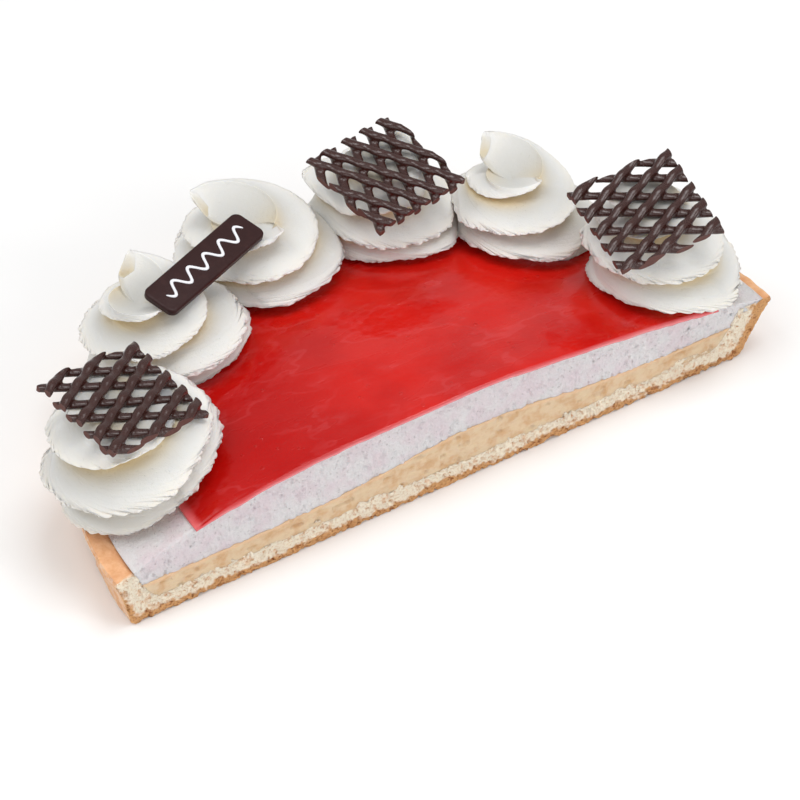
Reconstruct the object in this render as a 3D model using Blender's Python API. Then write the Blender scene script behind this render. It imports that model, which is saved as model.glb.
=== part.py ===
"""Half of a round strawberry tart, cut straight across and standing on its crust.

+X runs along the cut, +Y from the cut towards the round back, and +Z is up. The origin is on the
flat underside, CUT_SETBACK behind the cut. Every piece hangs on an empty at the tart's own centre,
which is the middle of the cut, and is modelled around that centre.
"""

import math

import bmesh
import bpy
from mathutils import Matrix, Vector

MM = 0.001
HALF_TURN = math.pi
FULL_TURN = 2 * math.pi

# Clearances between pieces that touch in the real tart
GAP = 0.3 * MM
CREAM_GAP = 0.6 * MM

# The round crust: a 28 cm tart, whose wall leans out more at the right end than at the left
TOP_RADIUS = 140 * MM
BASE_RADIUS_LEFT = 135 * MM
BASE_RADIUS_RIGHT = 127 * MM
RIM_HEIGHT = 23 * MM
RIM_WIDTH_LEFT = 8 * MM
RIM_WIDTH_RIGHT = 15 * MM
WALL_FOOT_LEFT = 14 * MM
WALL_FOOT_RIGHT = 25 * MM
FLOOR_HEIGHT = 8.5 * MM
CRUST_ROUNDING = 1.5 * MM
CUT_SETBACK = 60 * MM
TURN_STEPS = 40

# Custard: a level layer with a low mound near the middle of the cut
CUSTARD_HEIGHT = 16.6 * MM
MOUND_RISE = 6.9 * MM
MOUND_X = 8 * MM
MOUND_REACH = 46 * MM

# Mousse: a dome that is steep at the left and falls slowly towards the right
MOUSSE_EDGE_HEIGHT = 24 * MM
DOME_RISE = 16.5 * MM
DOME_POWER_LEFT = 3.1
DOME_POWER_RIGHT = 1.62
LAP_LEFT = 0.6 * MM
LAP_RIGHT = 11 * MM
RIPPLE = 0.3 * MM

# Strawberry glaze: a skin that thins out towards its edge
GLAZE_RADIUS_LEFT = 108 * MM
GLAZE_RADIUS_RIGHT = 114 * MM
GLAZE_THICKNESS = 2.2 * MM
GLAZE_EDGE_THICKNESS = 0.7 * MM
GLAZE_TAPER = 12 * MM

# Rings of points across the filling, as shares of the glaze's radius
FILLING_RINGS = (0.2, 0.4, 0.58, 0.76, 0.9)

# Cream rosettes: two fins climb round each one like the thread of a screw
FINS = 2
TWIST = math.radians(560)
RINGS = 31
BELLY_LEVEL = 0.3
FOOT_SHARE = 0.8
DOME_POWER = 0.75
DEEPENING = 0.35
WARP = 0.25
FIN_DROOP = 1.4 * MM
CROWN = 3.5 * MM
CREASE_REACH = 0.77
LEAST_RISE = 0.3
TILT_WAY = math.radians(-33)
UNDERSIDE_RING = 0.5
NEIGHBOUR_GAP = 0.15 * MM

# The top folds in: shares of the fold at its ring and at its middle, and how deep the middle lies
FOLD_RING = 0.75
FOLD_DEPTH = 4.5 * MM
FOLD_TURN = 0.1

# One fin, going round from its crease: share of a fin, reach and droop at each point
FIN_OUTLINE = (
    (0.00, 0.77, 0.0),
    (0.18, 0.785, 0.0),
    (0.36, 0.81, 0.1),
    (0.53, 0.855, 0.25),
    (0.67, 0.9, 0.5),
    (0.78, 0.95, 0.75),
    (0.86, 1.0, 1.0),
    (0.915, 0.89, 0.75),
)

# Chocolate lattices: two layers of rods in a square, cut clean at its sides
LATTICE_SIDE = 42 * MM
ROD_SPACING = 7.9 * MM
ROD_COUNT = 7
ROD_WIDTH = 3.6 * MM
ROD_HEIGHT = 3.0 * MM
ROD_SIDES = 6
LAYER_RISE = 1.1 * MM
ROD_SLANT = math.radians(28)

# Chocolate plaque, bare
PLAQUE_SIZE = (54.5 * MM, 14.5 * MM, 3 * MM)
PLAQUE_CORNER = 3 * MM
PLAQUE_EDGE = 0.7 * MM
NOTCH_ROOM = 40 * MM


class Rosette:
    """Where one rosette stands and how it differs from the others."""

    def __init__(
        self, angle, distance, radius, top, start, lean=(0, 0), tilt=0, curl=7, fullness=1.7, top_share=0.46
    ):
        self.x = distance * MM * math.cos(math.radians(angle))
        self.y = distance * MM * math.sin(math.radians(angle))
        self.radius = radius * MM
        self.top = top * MM
        self.start = math.radians(start)
        self.lean = Vector(lean) * MM
        self.tilt = tilt * MM
        self.curl = curl * MM
        self.fullness = fullness
        self.top_share = top_share


ROSETTES = (
    Rosette(161.1, 117.8, 31.4, 67, 10, fullness=2.4, top_share=0.6, curl=0),
    Rosette(128.4, 111.0, 32.9, 63, 265, lean=(-12, 0), curl=4.5, top_share=0.5),
    Rosette(99.7, 109.4, 33.9, 62.5, 300, lean=(-8, -3), curl=3, fullness=2, top_share=0.58),
    Rosette(72.1, 108.5, 32.0, 66, 200, lean=(-3, 0), tilt=5, fullness=2.1, top_share=0.5, curl=0),
    Rosette(43.7, 109.9, 32.0, 59, 280, lean=(-5, 3), tilt=3, top_share=0.5, curl=4.5),
    Rosette(13.5, 108.6, 31.6, 68, 320, lean=(-4, 0), tilt=5, fullness=2.1, top_share=0.5, curl=0),
)


class Rest:
    """The place of a flat chocolate piece: its middle, the way its length runs and its upper side."""

    def __init__(self, middle, along, up):
        normal = Vector(up).normalized()
        length = Vector(along)
        length = (length - normal * length.dot(normal)).normalized()
        self.middle = Vector(middle) * MM
        self.normal = normal
        self.turn = Matrix((length, normal.cross(length), normal)).transposed().to_4x4()

    def matrix(self):
        return Matrix.Translation(self.middle) @ self.turn


# Each lattice lies on one rosette; the second is turned a quarter from the others
LATTICES = (
    (1, Rest((-112.3, 39.4, 63.9), (40.7, 7.2, -5.8), (0.15, -0.08, 0.98))),
    (4, Rest((27.3, 92.4, 68.2), (-7.4, 41.2, 6.5), (0.02, -0.18, 0.98))),
    (6, Rest((94.4, 21.5, 69.0), (41.3, -5.1, 5.5), (-0.15, -0.18, 0.97))),
)
PLAQUE = Rest((-54.0, 84.5, 66.5), (50.5, 20.5, 1.0), (0.069, -0.218, 0.973))
PLAQUE_BEARERS = (2, 3)


def ease(share):
    """A share from 0 to 1, with a soft start and a soft end."""
    share = min(max(share, 0.0), 1.0)
    return share * share * (3 - 2 * share)


def between(left, right, angle):
    """A size that changes round the tart, from the left end of the cut to the right end."""
    return left + (right - left) * (1 + math.cos(angle)) / 2


def rim_height(angle):
    return RIM_HEIGHT + 0.45 * MM * math.sin(5 * angle + 0.6) + 0.25 * MM * math.sin(9 * angle + 2)


def rim_radius(angle):
    return TOP_RADIUS + 0.5 * MM * math.sin(4 * angle + 1.1) + 0.3 * MM * math.sin(11 * angle)


def wall_top_radius(angle):
    return TOP_RADIUS - between(RIM_WIDTH_LEFT, RIM_WIDTH_RIGHT, angle)


def wall_foot_radius(angle):
    return TOP_RADIUS - between(WALL_FOOT_LEFT, WALL_FOOT_RIGHT, angle)


def wall_radius(angle, height):
    """The inner side of the crust's wall at a height between its foot and its top."""
    share = (height - FLOOR_HEIGHT) / (RIM_HEIGHT - FLOOR_HEIGHT)
    foot = wall_foot_radius(angle)
    return foot + (wall_top_radius(angle) - foot) * share


def custard_height(x, y):
    spread = ((x - MOUND_X) ** 2 + y**2) / MOUND_REACH**2
    return CUSTARD_HEIGHT + MOUND_RISE * math.exp(-spread)


def mousse_edge(angle):
    return wall_top_radius(angle) + between(LAP_LEFT, LAP_RIGHT, angle)


def mousse_height(x, y):
    """The mousse's upper side, a dome with a few low ripples."""
    angle = math.atan2(max(y, 0.0), x)
    share = min(math.hypot(x, y) / mousse_edge(angle), 1.0)
    fall = share ** between(DOME_POWER_LEFT, DOME_POWER_RIGHT, angle)
    ripple = RIPPLE * math.sin(x / (13 * MM)) * math.cos(y / (17 * MM))
    return MOUSSE_EDGE_HEIGHT + (DOME_RISE + ripple) * (1 - fall)


def glaze_radius(angle):
    wave = 1.2 * MM * math.sin(7 * angle + 0.4)
    return between(GLAZE_RADIUS_LEFT, GLAZE_RADIUS_RIGHT, angle) + wave * math.sin(angle)


def glaze_thickness(radius, angle):
    inward = (glaze_radius(angle) - radius) / GLAZE_TAPER
    return GLAZE_EDGE_THICKNESS + (GLAZE_THICKNESS - GLAZE_EDGE_THICKNESS) * ease(inward)


def resting_height(x, y):
    """What the cream stands on: the glaze, the mousse or the crust's rim."""
    angle = math.atan2(max(y, 0.0), x)
    radius = math.hypot(x, y)
    height = mousse_height(x, y)
    if radius < glaze_radius(angle) + 2 * MM:
        height += GAP + glaze_thickness(radius, angle)
    return height


def filling_radii(angle):
    """The radii of the points across the filling at one angle, from the middle to the glaze's edge."""
    edge = glaze_radius(angle)
    return [0.0] + [share * edge for share in FILLING_RINGS] + [edge]


def across(angle, height_of, lift=0.0, radii=None):
    """Points of an upper or lower side at one angle: pairs of radius and height."""
    points = []
    for radius in radii or filling_radii(angle):
        x = radius * math.cos(angle)
        y = radius * math.sin(angle)
        points.append((radius, height_of(x, y) + lift))
    return points


def crust_section(angle):
    """The crust's section: a floor and a leaning wall with a flat rim."""
    base = between(BASE_RADIUS_LEFT, BASE_RADIUS_RIGHT, angle)
    top = rim_radius(angle)
    rim = rim_height(angle)
    fillet = 2.5 * MM
    return [
        (0.0, 0.0),
        (base - CRUST_ROUNDING, 0.0),
        (base, CRUST_ROUNDING),
        ((base + top) / 2 - 0.8 * MM, rim / 2),
        (top, rim - CRUST_ROUNDING),
        (top - CRUST_ROUNDING, rim),
        (wall_top_radius(angle), rim),
        (wall_radius(angle, FLOOR_HEIGHT + fillet), FLOOR_HEIGHT + fillet),
        (wall_foot_radius(angle) - fillet, FLOOR_HEIGHT),
        (0.0, FLOOR_HEIGHT),
    ]


def custard_section(angle):
    """The custard's section: it fills the crust up to its own height."""
    fillet = 3.2 * MM
    floor = FLOOR_HEIGHT + GAP
    surface = across(angle, custard_height)
    top = surface[-1][1]
    return [
        (0.0, floor),
        (wall_foot_radius(angle) - fillet - GAP, floor),
        (wall_radius(angle, FLOOR_HEIGHT + fillet) - 2 * GAP, FLOOR_HEIGHT + fillet),
        (wall_radius(angle, top) - 2 * GAP, top),
    ] + surface[::-1]


def mousse_section(angle):
    """The mousse's section: custard below, the wall beside it, and a lap over the rim."""
    below = across(angle, custard_height, GAP)
    level = below[-1][1]
    rim = rim_height(angle)
    wall_top = wall_top_radius(angle) - GAP
    edge = mousse_edge(angle)
    slope = [edge, wall_top - 1.5 * MM, wall_top - 8 * MM]
    outer = across(angle, mousse_height, radii=slope)
    return (
        below
        + [
            (wall_radius(angle, level) - 2 * GAP, level),
            (wall_top - GAP, rim - GAP),
            (wall_top, rim + GAP),
            (edge, rim + GAP),
        ]
        + outer
        + across(angle, mousse_height)[::-1]
    )


def glaze_section(angle):
    """The glaze's section: it follows the mousse and thins out to a low edge."""
    below = across(angle, mousse_height, GAP)
    above = [(r, z + glaze_thickness(r, angle)) for r, z in below]
    return below + above[::-1]


def finish_of(name, color, roughness):
    """A plain finish: colour and roughness of one kind of food."""
    material = bpy.data.materials.new(name)
    material.use_nodes = True
    shader = material.node_tree.nodes["Principled BSDF"]
    shader.inputs["Base Color"].default_value = (*color, 1.0)
    shader.inputs["Roughness"].default_value = roughness
    shader.inputs["Metallic"].default_value = 0.0
    return material


def add_object(name, bm, finish, holder):
    """Makes an object from a finished bmesh and hangs it on the tart's centre."""
    bmesh.ops.recalc_face_normals(bm, faces=bm.faces)
    mesh = bpy.data.meshes.new(name)
    bm.to_mesh(mesh)
    bm.free()
    mesh.materials.append(finish)
    piece = bpy.data.objects.new(name, mesh)
    bpy.context.scene.collection.objects.link(piece)
    piece.parent = holder
    return piece


def shade_round(piece, sharp_from):
    """Smooth shading, with the edges over an angle kept sharp."""
    piece.data.shade_smooth()
    piece.data.set_sharp_from_angle(angle=math.radians(sharp_from))


def half_turned(name, section, finish, holder):
    """A layer: its section turned through half a turn, with every point set by the section there."""
    bm = bmesh.new()
    station = bm.verts.layers.int.new("station")
    outline = []
    for index, (radius, height) in enumerate(section(HALF_TURN / 2)):
        vert = bm.verts.new((radius, 0.0, height))
        vert[station] = index
        outline.append(vert)
    face = bm.faces.new(outline)
    bmesh.ops.spin(
        bm,
        geom=[face] + list(face.edges) + outline,
        cent=(0, 0, 0),
        axis=(0, 0, 1),
        angle=HALF_TURN,
        steps=TURN_STEPS,
    )
    for vert in bm.verts:
        angle = min(max(math.atan2(vert.co.y, vert.co.x), 0.0), HALF_TURN)
        if vert.co.y < 0 and vert.co.x < 0:
            angle = HALF_TURN
        radius, height = section(angle)[vert[station]]
        vert.co = (radius * math.cos(angle), radius * math.sin(angle), height)
    bmesh.ops.remove_doubles(bm, verts=bm.verts, dist=0.01 * MM)
    piece = add_object(name, bm, finish, holder)
    shade_round(piece, 40)
    return piece


def outline_share(spot, level):
    """The rosette's radius at a level, as a share of its widest."""
    if level < BELLY_LEVEL:
        return FOOT_SHARE + (1 - FOOT_SHARE) * math.sin(HALF_TURN / 2 * level / BELLY_LEVEL)
    rise = (level - BELLY_LEVEL) / (1 - BELLY_LEVEL)
    dome = (1 - rise**spot.fullness) ** DOME_POWER
    return (dome**6 + spot.top_share**6) ** (1 / 6)


def rosette_point(spot, column, level, fold=0.0, reach_share=1.0):
    """One point of a rosette's skin, at a level and a share of the fold at the top."""
    fin, step = divmod(column, len(FIN_OUTLINE))
    share, reach, droop = FIN_OUTLINE[step]
    turn = (fin + share) / FINS
    angle = spot.start + FULL_TURN * turn + TWIST * level + FOLD_TURN * fold
    angle += WARP * math.sin(FULL_TURN * turn + 3 * spot.start + 4 * level)
    uneven = 1 + 0.05 * math.sin(2.1 * fin + 5 * spot.start) + 0.03 * math.sin(2 * angle + spot.start)
    uneven += 0.3 * (turn - 0.5) * level**3
    width = outline_share(spot, level)
    depth = (1 - reach) * (1 + DEEPENING * level**3)
    radius = spot.radius * width * (1 - depth) * uneven * reach_share * (1 - 0.93 * fold**1.4)
    x = spot.x + radius * math.cos(angle) + spot.lean.x * level**3
    y = spot.y + radius * math.sin(angle) + spot.lean.y * level**3

    foot = resting_height(x, y) + CREAM_GAP
    arch = math.sin(HALF_TURN * level)
    rise = (spot.top - foot) * level
    sink = FIN_DROOP * droop * arch * (1 - 0.5 * level)
    tilt = spot.tilt * math.cos(angle - TILT_WAY) * width * arch**2
    curl = spot.curl * (turn - 0.5) * level**3
    curl += CROWN * (1 - (1 - reach) / (1 - CREASE_REACH)) * level**5
    height = max(rise - sink - tilt, LEAST_RISE * rise) + curl * (1 - fold) - FOLD_DEPTH * fold
    return Vector((x, y, foot + height))


def place_ring(verts, column, spot, level, fold=0.0, reach_share=1.0):
    for vert in verts:
        vert.co = rosette_point(spot, vert[column], level, fold, reach_share)


def ring_up(bm, edges, column, spot, level, fold=0.0, reach_share=1.0):
    """Extrudes a ring of edges to another level and gives the new ring's edges."""
    made = bmesh.ops.extrude_edge_only(bm, edges=edges)["geom"]
    verts = [item for item in made if isinstance(item, bmesh.types.BMVert)]
    place_ring(verts, column, spot, level, fold, reach_share)
    fresh = set(verts)
    return [
        item
        for item in made
        if isinstance(item, bmesh.types.BMEdge) and fresh.issuperset(item.verts)
    ]


def close_ring(bm, edges, point):
    """Closes a ring with a fan of triangles that meet at one point."""
    face = bmesh.ops.contextual_create(bm, geom=edges)["faces"][0]
    middle = bmesh.ops.poke(bm, faces=[face])["verts"][0]
    middle.co = point


def rosette_body(spot, folded):
    """The whole rosette, before its neighbours and the chocolate press into it."""
    bm = bmesh.new()
    column = bm.verts.layers.int.new("column")
    count = FINS * len(FIN_OUTLINE)
    ring = bmesh.ops.create_circle(bm, cap_ends=False, radius=spot.radius, segments=count)["verts"]
    for index, vert in enumerate(ring):
        vert[column] = index
    place_ring(ring, column, spot, 0.0)
    foot_edges = list(bm.edges)
    edges = foot_edges
    for step in range(1, RINGS + 1):
        edges = ring_up(bm, edges, column, spot, step / RINGS)
    middle = Vector((spot.x + spot.lean.x, spot.y + spot.lean.y, spot.top + CROWN))
    if folded:
        edges = ring_up(bm, edges, column, spot, 1.0, fold=FOLD_RING)
        middle.z = spot.top - FOLD_DEPTH
    close_ring(bm, edges, middle)
    inner = ring_up(bm, foot_edges, column, spot, 0.0, reach_share=UNDERSIDE_RING)
    underside = Vector((spot.x, spot.y, resting_height(spot.x, spot.y) + CREAM_GAP))
    close_ring(bm, inner, underside)
    bmesh.ops.recalc_face_normals(bm, faces=bm.faces)
    return bm


def cut_away(bm, point, normal):
    """Cuts a closed body by a plane, drops what lies beyond it and closes the cut."""
    geometry = list(bm.verts) + list(bm.edges) + list(bm.faces)
    found = bmesh.ops.bisect_plane(
        bm,
        geom=geometry,
        dist=0.001 * MM,
        plane_co=point,
        plane_no=normal,
        clear_outer=True,
    )
    rim = [item for item in found["geom_cut"] if isinstance(item, bmesh.types.BMEdge)]
    if rim:
        closed = bmesh.ops.holes_fill(bm, edges=rim, sides=0)["faces"]
        bmesh.ops.triangulate(bm, faces=closed)


def press_by_neighbours(bm, index):
    """Flattens a rosette where the rosettes beside it press against it."""
    spot = ROSETTES[index]
    for other in (index - 1, index + 1):
        if 0 <= other < len(ROSETTES):
            beside = ROSETTES[other]
            way = Vector((beside.x - spot.x, beside.y - spot.y, 0.0))
            share = spot.radius / (spot.radius + beside.radius)
            distance = way.length * share - NEIGHBOUR_GAP
            point = Vector((spot.x, spot.y, 0.0)) + way.normalized() * distance
            cut_away(bm, point, way)


def boolean(piece, cutter, operation):
    """Applies one Boolean with a cutter and removes the cutter."""
    tool = piece.modifiers.new(operation.lower(), "BOOLEAN")
    tool.operation = operation
    tool.object = cutter
    apply_modifiers(piece)
    bpy.data.objects.remove(cutter)


def apply_modifiers(piece):
    bpy.context.view_layer.update()
    depsgraph = bpy.context.evaluated_depsgraph_get()
    shaped = bpy.data.meshes.new_from_object(piece.evaluated_get(depsgraph))
    piece.modifiers.clear()
    piece.data = shaped


def box_object(name, size, middle, matrix, holder):
    """A plain box, given in the coordinates of a matrix under the tart's centre."""
    bm = bmesh.new()
    bmesh.ops.create_cube(bm, size=1.0)
    bmesh.ops.scale(bm, verts=bm.verts, vec=size)
    bmesh.ops.translate(bm, verts=bm.verts, vec=middle)
    bmesh.ops.transform(bm, verts=bm.verts, matrix=matrix)
    bmesh.ops.recalc_face_normals(bm, faces=bm.faces)
    mesh = bpy.data.meshes.new(name)
    bm.to_mesh(mesh)
    bm.free()
    piece = bpy.data.objects.new(name, mesh)
    bpy.context.scene.collection.objects.link(piece)
    piece.parent = holder
    return piece


def notch_for_plaque(piece, holder):
    """Takes the plaque's bed out of a rosette, open upwards and to the front."""
    length, width, thickness = PLAQUE_SIZE
    size = (length + 2 * GAP, width + 2 * GAP + NOTCH_ROOM, thickness + GAP + NOTCH_ROOM)
    middle = (0.0, -NOTCH_ROOM / 2, NOTCH_ROOM / 2 - GAP / 2)
    cutter = box_object("notch", size, middle, PLAQUE.matrix(), holder)
    boolean(piece, cutter, "DIFFERENCE")


def cream(index, finish, holder):
    """One rosette, pressed flat by its neighbours and by the chocolate that lies on it."""
    number = index + 1
    bears_lattice = any(bearer == number for bearer, _ in LATTICES)
    bm = rosette_body(ROSETTES[index], folded=not bears_lattice)
    press_by_neighbours(bm, index)
    for bearer, rest in LATTICES:
        if bearer == number:
            depth = LAYER_RISE + ROD_HEIGHT / 2 + GAP
            cut_away(bm, rest.middle - rest.normal * depth, rest.normal)
    piece = add_object(f"cream_{number}", bm, finish, holder)
    if number in PLAQUE_BEARERS:
        notch_for_plaque(piece, holder)
    shade_round(piece, 50)
    return piece


def rod(name, offset, slant, rise, collection):
    """One straight rod of a lattice, lying across the square at a slant."""
    bm = bmesh.new()
    bmesh.ops.create_cone(
        bm,
        cap_ends=True,
        segments=ROD_SIDES,
        radius1=0.5,
        radius2=0.5,
        depth=2 * LATTICE_SIDE,
        matrix=Matrix.Rotation(HALF_TURN / 2, 4, "Y"),
    )
    bmesh.ops.scale(bm, verts=bm.verts, vec=(1.0, ROD_WIDTH, ROD_HEIGHT))
    bmesh.ops.translate(bm, verts=bm.verts, vec=(0.0, offset, rise))
    bmesh.ops.rotate(bm, verts=bm.verts, matrix=Matrix.Rotation(slant, 3, "Z"))
    bmesh.ops.recalc_face_normals(bm, faces=bm.faces)
    mesh = bpy.data.meshes.new(name)
    bm.to_mesh(mesh)
    bm.free()
    piece = bpy.data.objects.new(name, mesh)
    collection.objects.link(piece)
    return piece


def lattice(number, rest, finish, holder):
    """A chocolate lattice: crossing rods joined by one union and cut to a square."""
    strokes = bpy.data.collections.new(f"strokes_{number}")
    bpy.context.scene.collection.children.link(strokes)
    first = None
    for layer, rise in ((-1, -LAYER_RISE), (1, LAYER_RISE)):
        for index in range(ROD_COUNT):
            place = index - (ROD_COUNT - 1) / 2
            offset = ROD_SPACING * place + 0.35 * MM * math.sin(3.7 * index + number + layer)
            slant = layer * ROD_SLANT + math.radians(1.2) * math.sin(2.3 * index + number)
            home = strokes if first else bpy.context.scene.collection
            made = rod(f"rod_{number}_{layer + 1}_{index}", offset, slant, rise, home)
            first = first or made
    joined = first.modifiers.new("joined", "BOOLEAN")
    joined.operation = "UNION"
    joined.operand_type = "COLLECTION"
    joined.collection = strokes
    apply_modifiers(first)
    for piece in list(strokes.objects):
        bpy.data.objects.remove(piece)
    bpy.data.collections.remove(strokes)
    side = (LATTICE_SIDE, LATTICE_SIDE, 4 * ROD_HEIGHT)
    boolean(first, box_object("square", side, (0, 0, 0), Matrix(), None), "INTERSECT")
    first.name = f"lattice_{number}"
    first.data.materials.clear()
    first.data.materials.append(finish)
    first.parent = holder
    first.matrix_local = rest.matrix()
    shade_round(first, 45)
    return first


def plaque(finish, holder):
    """The plaque: a thin bar with round corners and softened edges."""
    bm = bmesh.new()
    bmesh.ops.create_cube(bm, size=1.0)
    bmesh.ops.scale(bm, verts=bm.verts, vec=PLAQUE_SIZE)
    upright = [e for e in bm.edges if abs(e.verts[0].co.z - e.verts[1].co.z) > GAP]
    bevel = {"affect": "EDGES", "profile": 0.5, "material": -1, "clamp_overlap": True}
    bmesh.ops.bevel(bm, geom=upright, offset=PLAQUE_CORNER, segments=4, **bevel)
    top = [e for e in bm.edges if min(v.co.z for v in e.verts) > PLAQUE_SIZE[2] / 2 - GAP]
    bmesh.ops.bevel(bm, geom=top, offset=PLAQUE_EDGE, segments=2, **bevel)
    piece = add_object("plaque", bm, finish, holder)
    piece.matrix_local = PLAQUE.matrix()
    shade_round(piece, 40)
    return piece


def main():
    for old in list(bpy.data.objects):
        bpy.data.objects.remove(old)
    holder = bpy.data.objects.new("tart_centre", None)
    holder.location = (0.0, -CUT_SETBACK, 0.0)
    bpy.context.scene.collection.objects.link(holder)

    pastry = finish_of("baked shortcrust", (0.68, 0.42, 0.19), 0.8)
    custard = finish_of("custard", (0.83, 0.66, 0.35), 0.45)
    mousse = finish_of("mousse", (0.76, 0.71, 0.73), 0.7)
    jelly = finish_of("strawberry glaze", (0.62, 0.03, 0.02), 0.12)
    whipped = finish_of("whipped cream", (0.87, 0.86, 0.78), 0.6)
    chocolate = finish_of("dark chocolate", (0.045, 0.022, 0.019), 0.3)

    half_turned("crust", crust_section, pastry, holder)
    half_turned("custard", custard_section, custard, holder)
    half_turned("mousse", mousse_section, mousse, holder)
    half_turned("glaze", glaze_section, jelly, holder)
    for index in range(len(ROSETTES)):
        cream(index, whipped, holder)
    for number, (_, rest) in enumerate(LATTICES, 1):
        lattice(number, rest, chocolate, holder)
    plaque(chocolate, holder)


main()
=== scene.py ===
"""Looks of half a strawberry tart: its cut layers, red glaze, cream rosettes and dark chocolate."""

import enum
import logging
import math
from collections.abc import Callable
from dataclasses import dataclass

import bmesh
import bpy
import numpy as np
from mathutils import Matrix, Vector


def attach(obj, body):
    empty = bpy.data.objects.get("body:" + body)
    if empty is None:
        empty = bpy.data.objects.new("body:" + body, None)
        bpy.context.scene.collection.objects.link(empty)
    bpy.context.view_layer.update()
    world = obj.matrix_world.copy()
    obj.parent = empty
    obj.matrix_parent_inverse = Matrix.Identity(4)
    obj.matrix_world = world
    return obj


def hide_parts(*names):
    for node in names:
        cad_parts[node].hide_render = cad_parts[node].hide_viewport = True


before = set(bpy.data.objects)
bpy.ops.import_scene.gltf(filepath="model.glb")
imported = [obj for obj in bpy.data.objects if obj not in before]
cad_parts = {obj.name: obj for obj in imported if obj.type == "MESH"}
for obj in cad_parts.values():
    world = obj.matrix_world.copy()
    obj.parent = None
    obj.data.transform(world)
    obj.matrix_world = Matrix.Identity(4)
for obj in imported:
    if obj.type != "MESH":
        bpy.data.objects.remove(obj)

MM = 0.001
HALF_TURN = math.pi
FULL_TURN = 2 * math.pi
WELD = 0.001 * MM
TART_CENTRE = Vector((0.0, -60 * MM, 0.0))

Array = np.ndarray
Colour = tuple[float, float, float, float]

log = logging.getLogger("tart")


class Slot(enum.Enum):
    """The record's material slots."""

    PASTRY = "pastry"
    CUSTARD = "custard"
    MOUSSE = "mousse"
    GLAZE = "glaze"
    CREAM = "cream"
    CHOCOLATE = "chocolate"


def shade(red: int, green: int, blue: int) -> Colour:
    """A colour as the eye reads it, from 0 to 255, turned into the linear one that a shader takes."""
    linear = [((part / 255 + 0.055) / 1.055) ** 2.4 for part in (red, green, blue)]
    return (*linear, 1.0)


def ease(share: Array) -> Array:
    """Shares from 0 to 1, with a soft start and a soft end."""
    share = np.clip(share, 0.0, 1.0)
    return share * share * (3 - 2 * share)


def soft_floor(height: Array, softness: float) -> Array:
    """Heights that never reach 0: below the softness they run out slowly instead."""
    low = softness * np.exp(np.minimum(height / softness - 1, 0.0))
    return np.where(height > softness, height, low)


class Grain:
    """Smooth seeded noise for arrays of places, from -1 to 1."""

    def __init__(self, seed: int, side: int = 64) -> None:
        """Draws the noise's table once, so that every run gives the same noise."""
        self.side = side
        self.table = np.random.default_rng(seed).uniform(-1.0, 1.0, (side, side, side))

    def at(self, period: float, x: Array, y: Array | float = 0.0, z: Array | float = 0.0) -> Array:
        """Noise at places.

        Args:
            period: the size of one bump, in the same unit as the places.
            x: places along the first axis.
            y: places along the second axis.
            z: places along the third axis.

        Returns:
            One value for each place.
        """
        spots = np.broadcast_arrays(x, y + 0.17 * x, z + 0.11 * x)
        whole = [np.floor(spot / period).astype(int) for spot in spots]
        part = [ease(spot / period - base) for spot, base in zip(spots, whole)]
        total = 0.0
        for corner in range(8):
            weight = 1.0
            index = []
            for axis in range(3):
                far = corner >> axis & 1
                weight = weight * (part[axis] if far else 1 - part[axis])
                index.append((whole[axis] + far) % self.side)
            total = total + weight * self.table[tuple(index)]
        return total


GRAIN = Grain(seed=11)


@dataclass(frozen=True)
class Bumps:
    """Bumps of several sizes on top of each other: the size of each in mm, and how much it counts."""

    layers: tuple[tuple[float, float], ...]

    def at(self, x: Array, y: Array | float = 0.0, z: Array | float = 0.0) -> Array:
        """Their sum at places."""
        return sum(weight * GRAIN.at(size * MM, x, y, z) for size, weight in self.layers)


def way_to(azimuth: float, elevation: float) -> Vector:
    """The way from the tart to a place round it, from two angles in degrees.

    Args:
        azimuth: turn round the tart, from its front.
        elevation: climb from the floor.

    Returns:
        A unit vector.
    """
    turn = math.radians(azimuth)
    climb = math.radians(elevation)
    return Vector((math.sin(turn) * math.cos(climb), -math.cos(turn) * math.cos(climb), math.sin(climb)))


class Strand:
    """A shader socket that takes part in sums written in Python."""

    def __init__(self, bench: "Bench", socket: bpy.types.NodeSocket) -> None:
        """Keeps the socket and the bench that adds nodes for it."""
        self.bench = bench
        self.socket = socket

    def _sum(self, operation: str, first: "Strand | float", second: "Strand | float") -> "Strand":
        """One Math node."""
        return self.bench.add("ShaderNodeMath", {"operation": operation}, {0: first, 1: second})

    def __add__(self, other: "Strand | float") -> "Strand":
        """This plus other."""
        return self._sum("ADD", self, other)

    def __radd__(self, other: float) -> "Strand":
        """A number plus this."""
        return self._sum("ADD", other, self)

    def __sub__(self, other: "Strand | float") -> "Strand":
        """This less other."""
        return self._sum("SUBTRACT", self, other)

    def __rsub__(self, other: float) -> "Strand":
        """A number less this."""
        return self._sum("SUBTRACT", other, self)

    def __mul__(self, other: "Strand | float") -> "Strand":
        """This times other."""
        return self._sum("MULTIPLY", self, other)

    def __rmul__(self, other: float) -> "Strand":
        """A number times this."""
        return self._sum("MULTIPLY", other, self)

    def step(self, low: float, high: float) -> "Strand":
        """0 below low and 1 above high, with a soft change between them."""
        settings = {"interpolation_type": "SMOOTHSTEP", "clamp": True}
        return self.bench.add("ShaderNodeMapRange", settings, {0: self, 1: low, 2: high})


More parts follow.
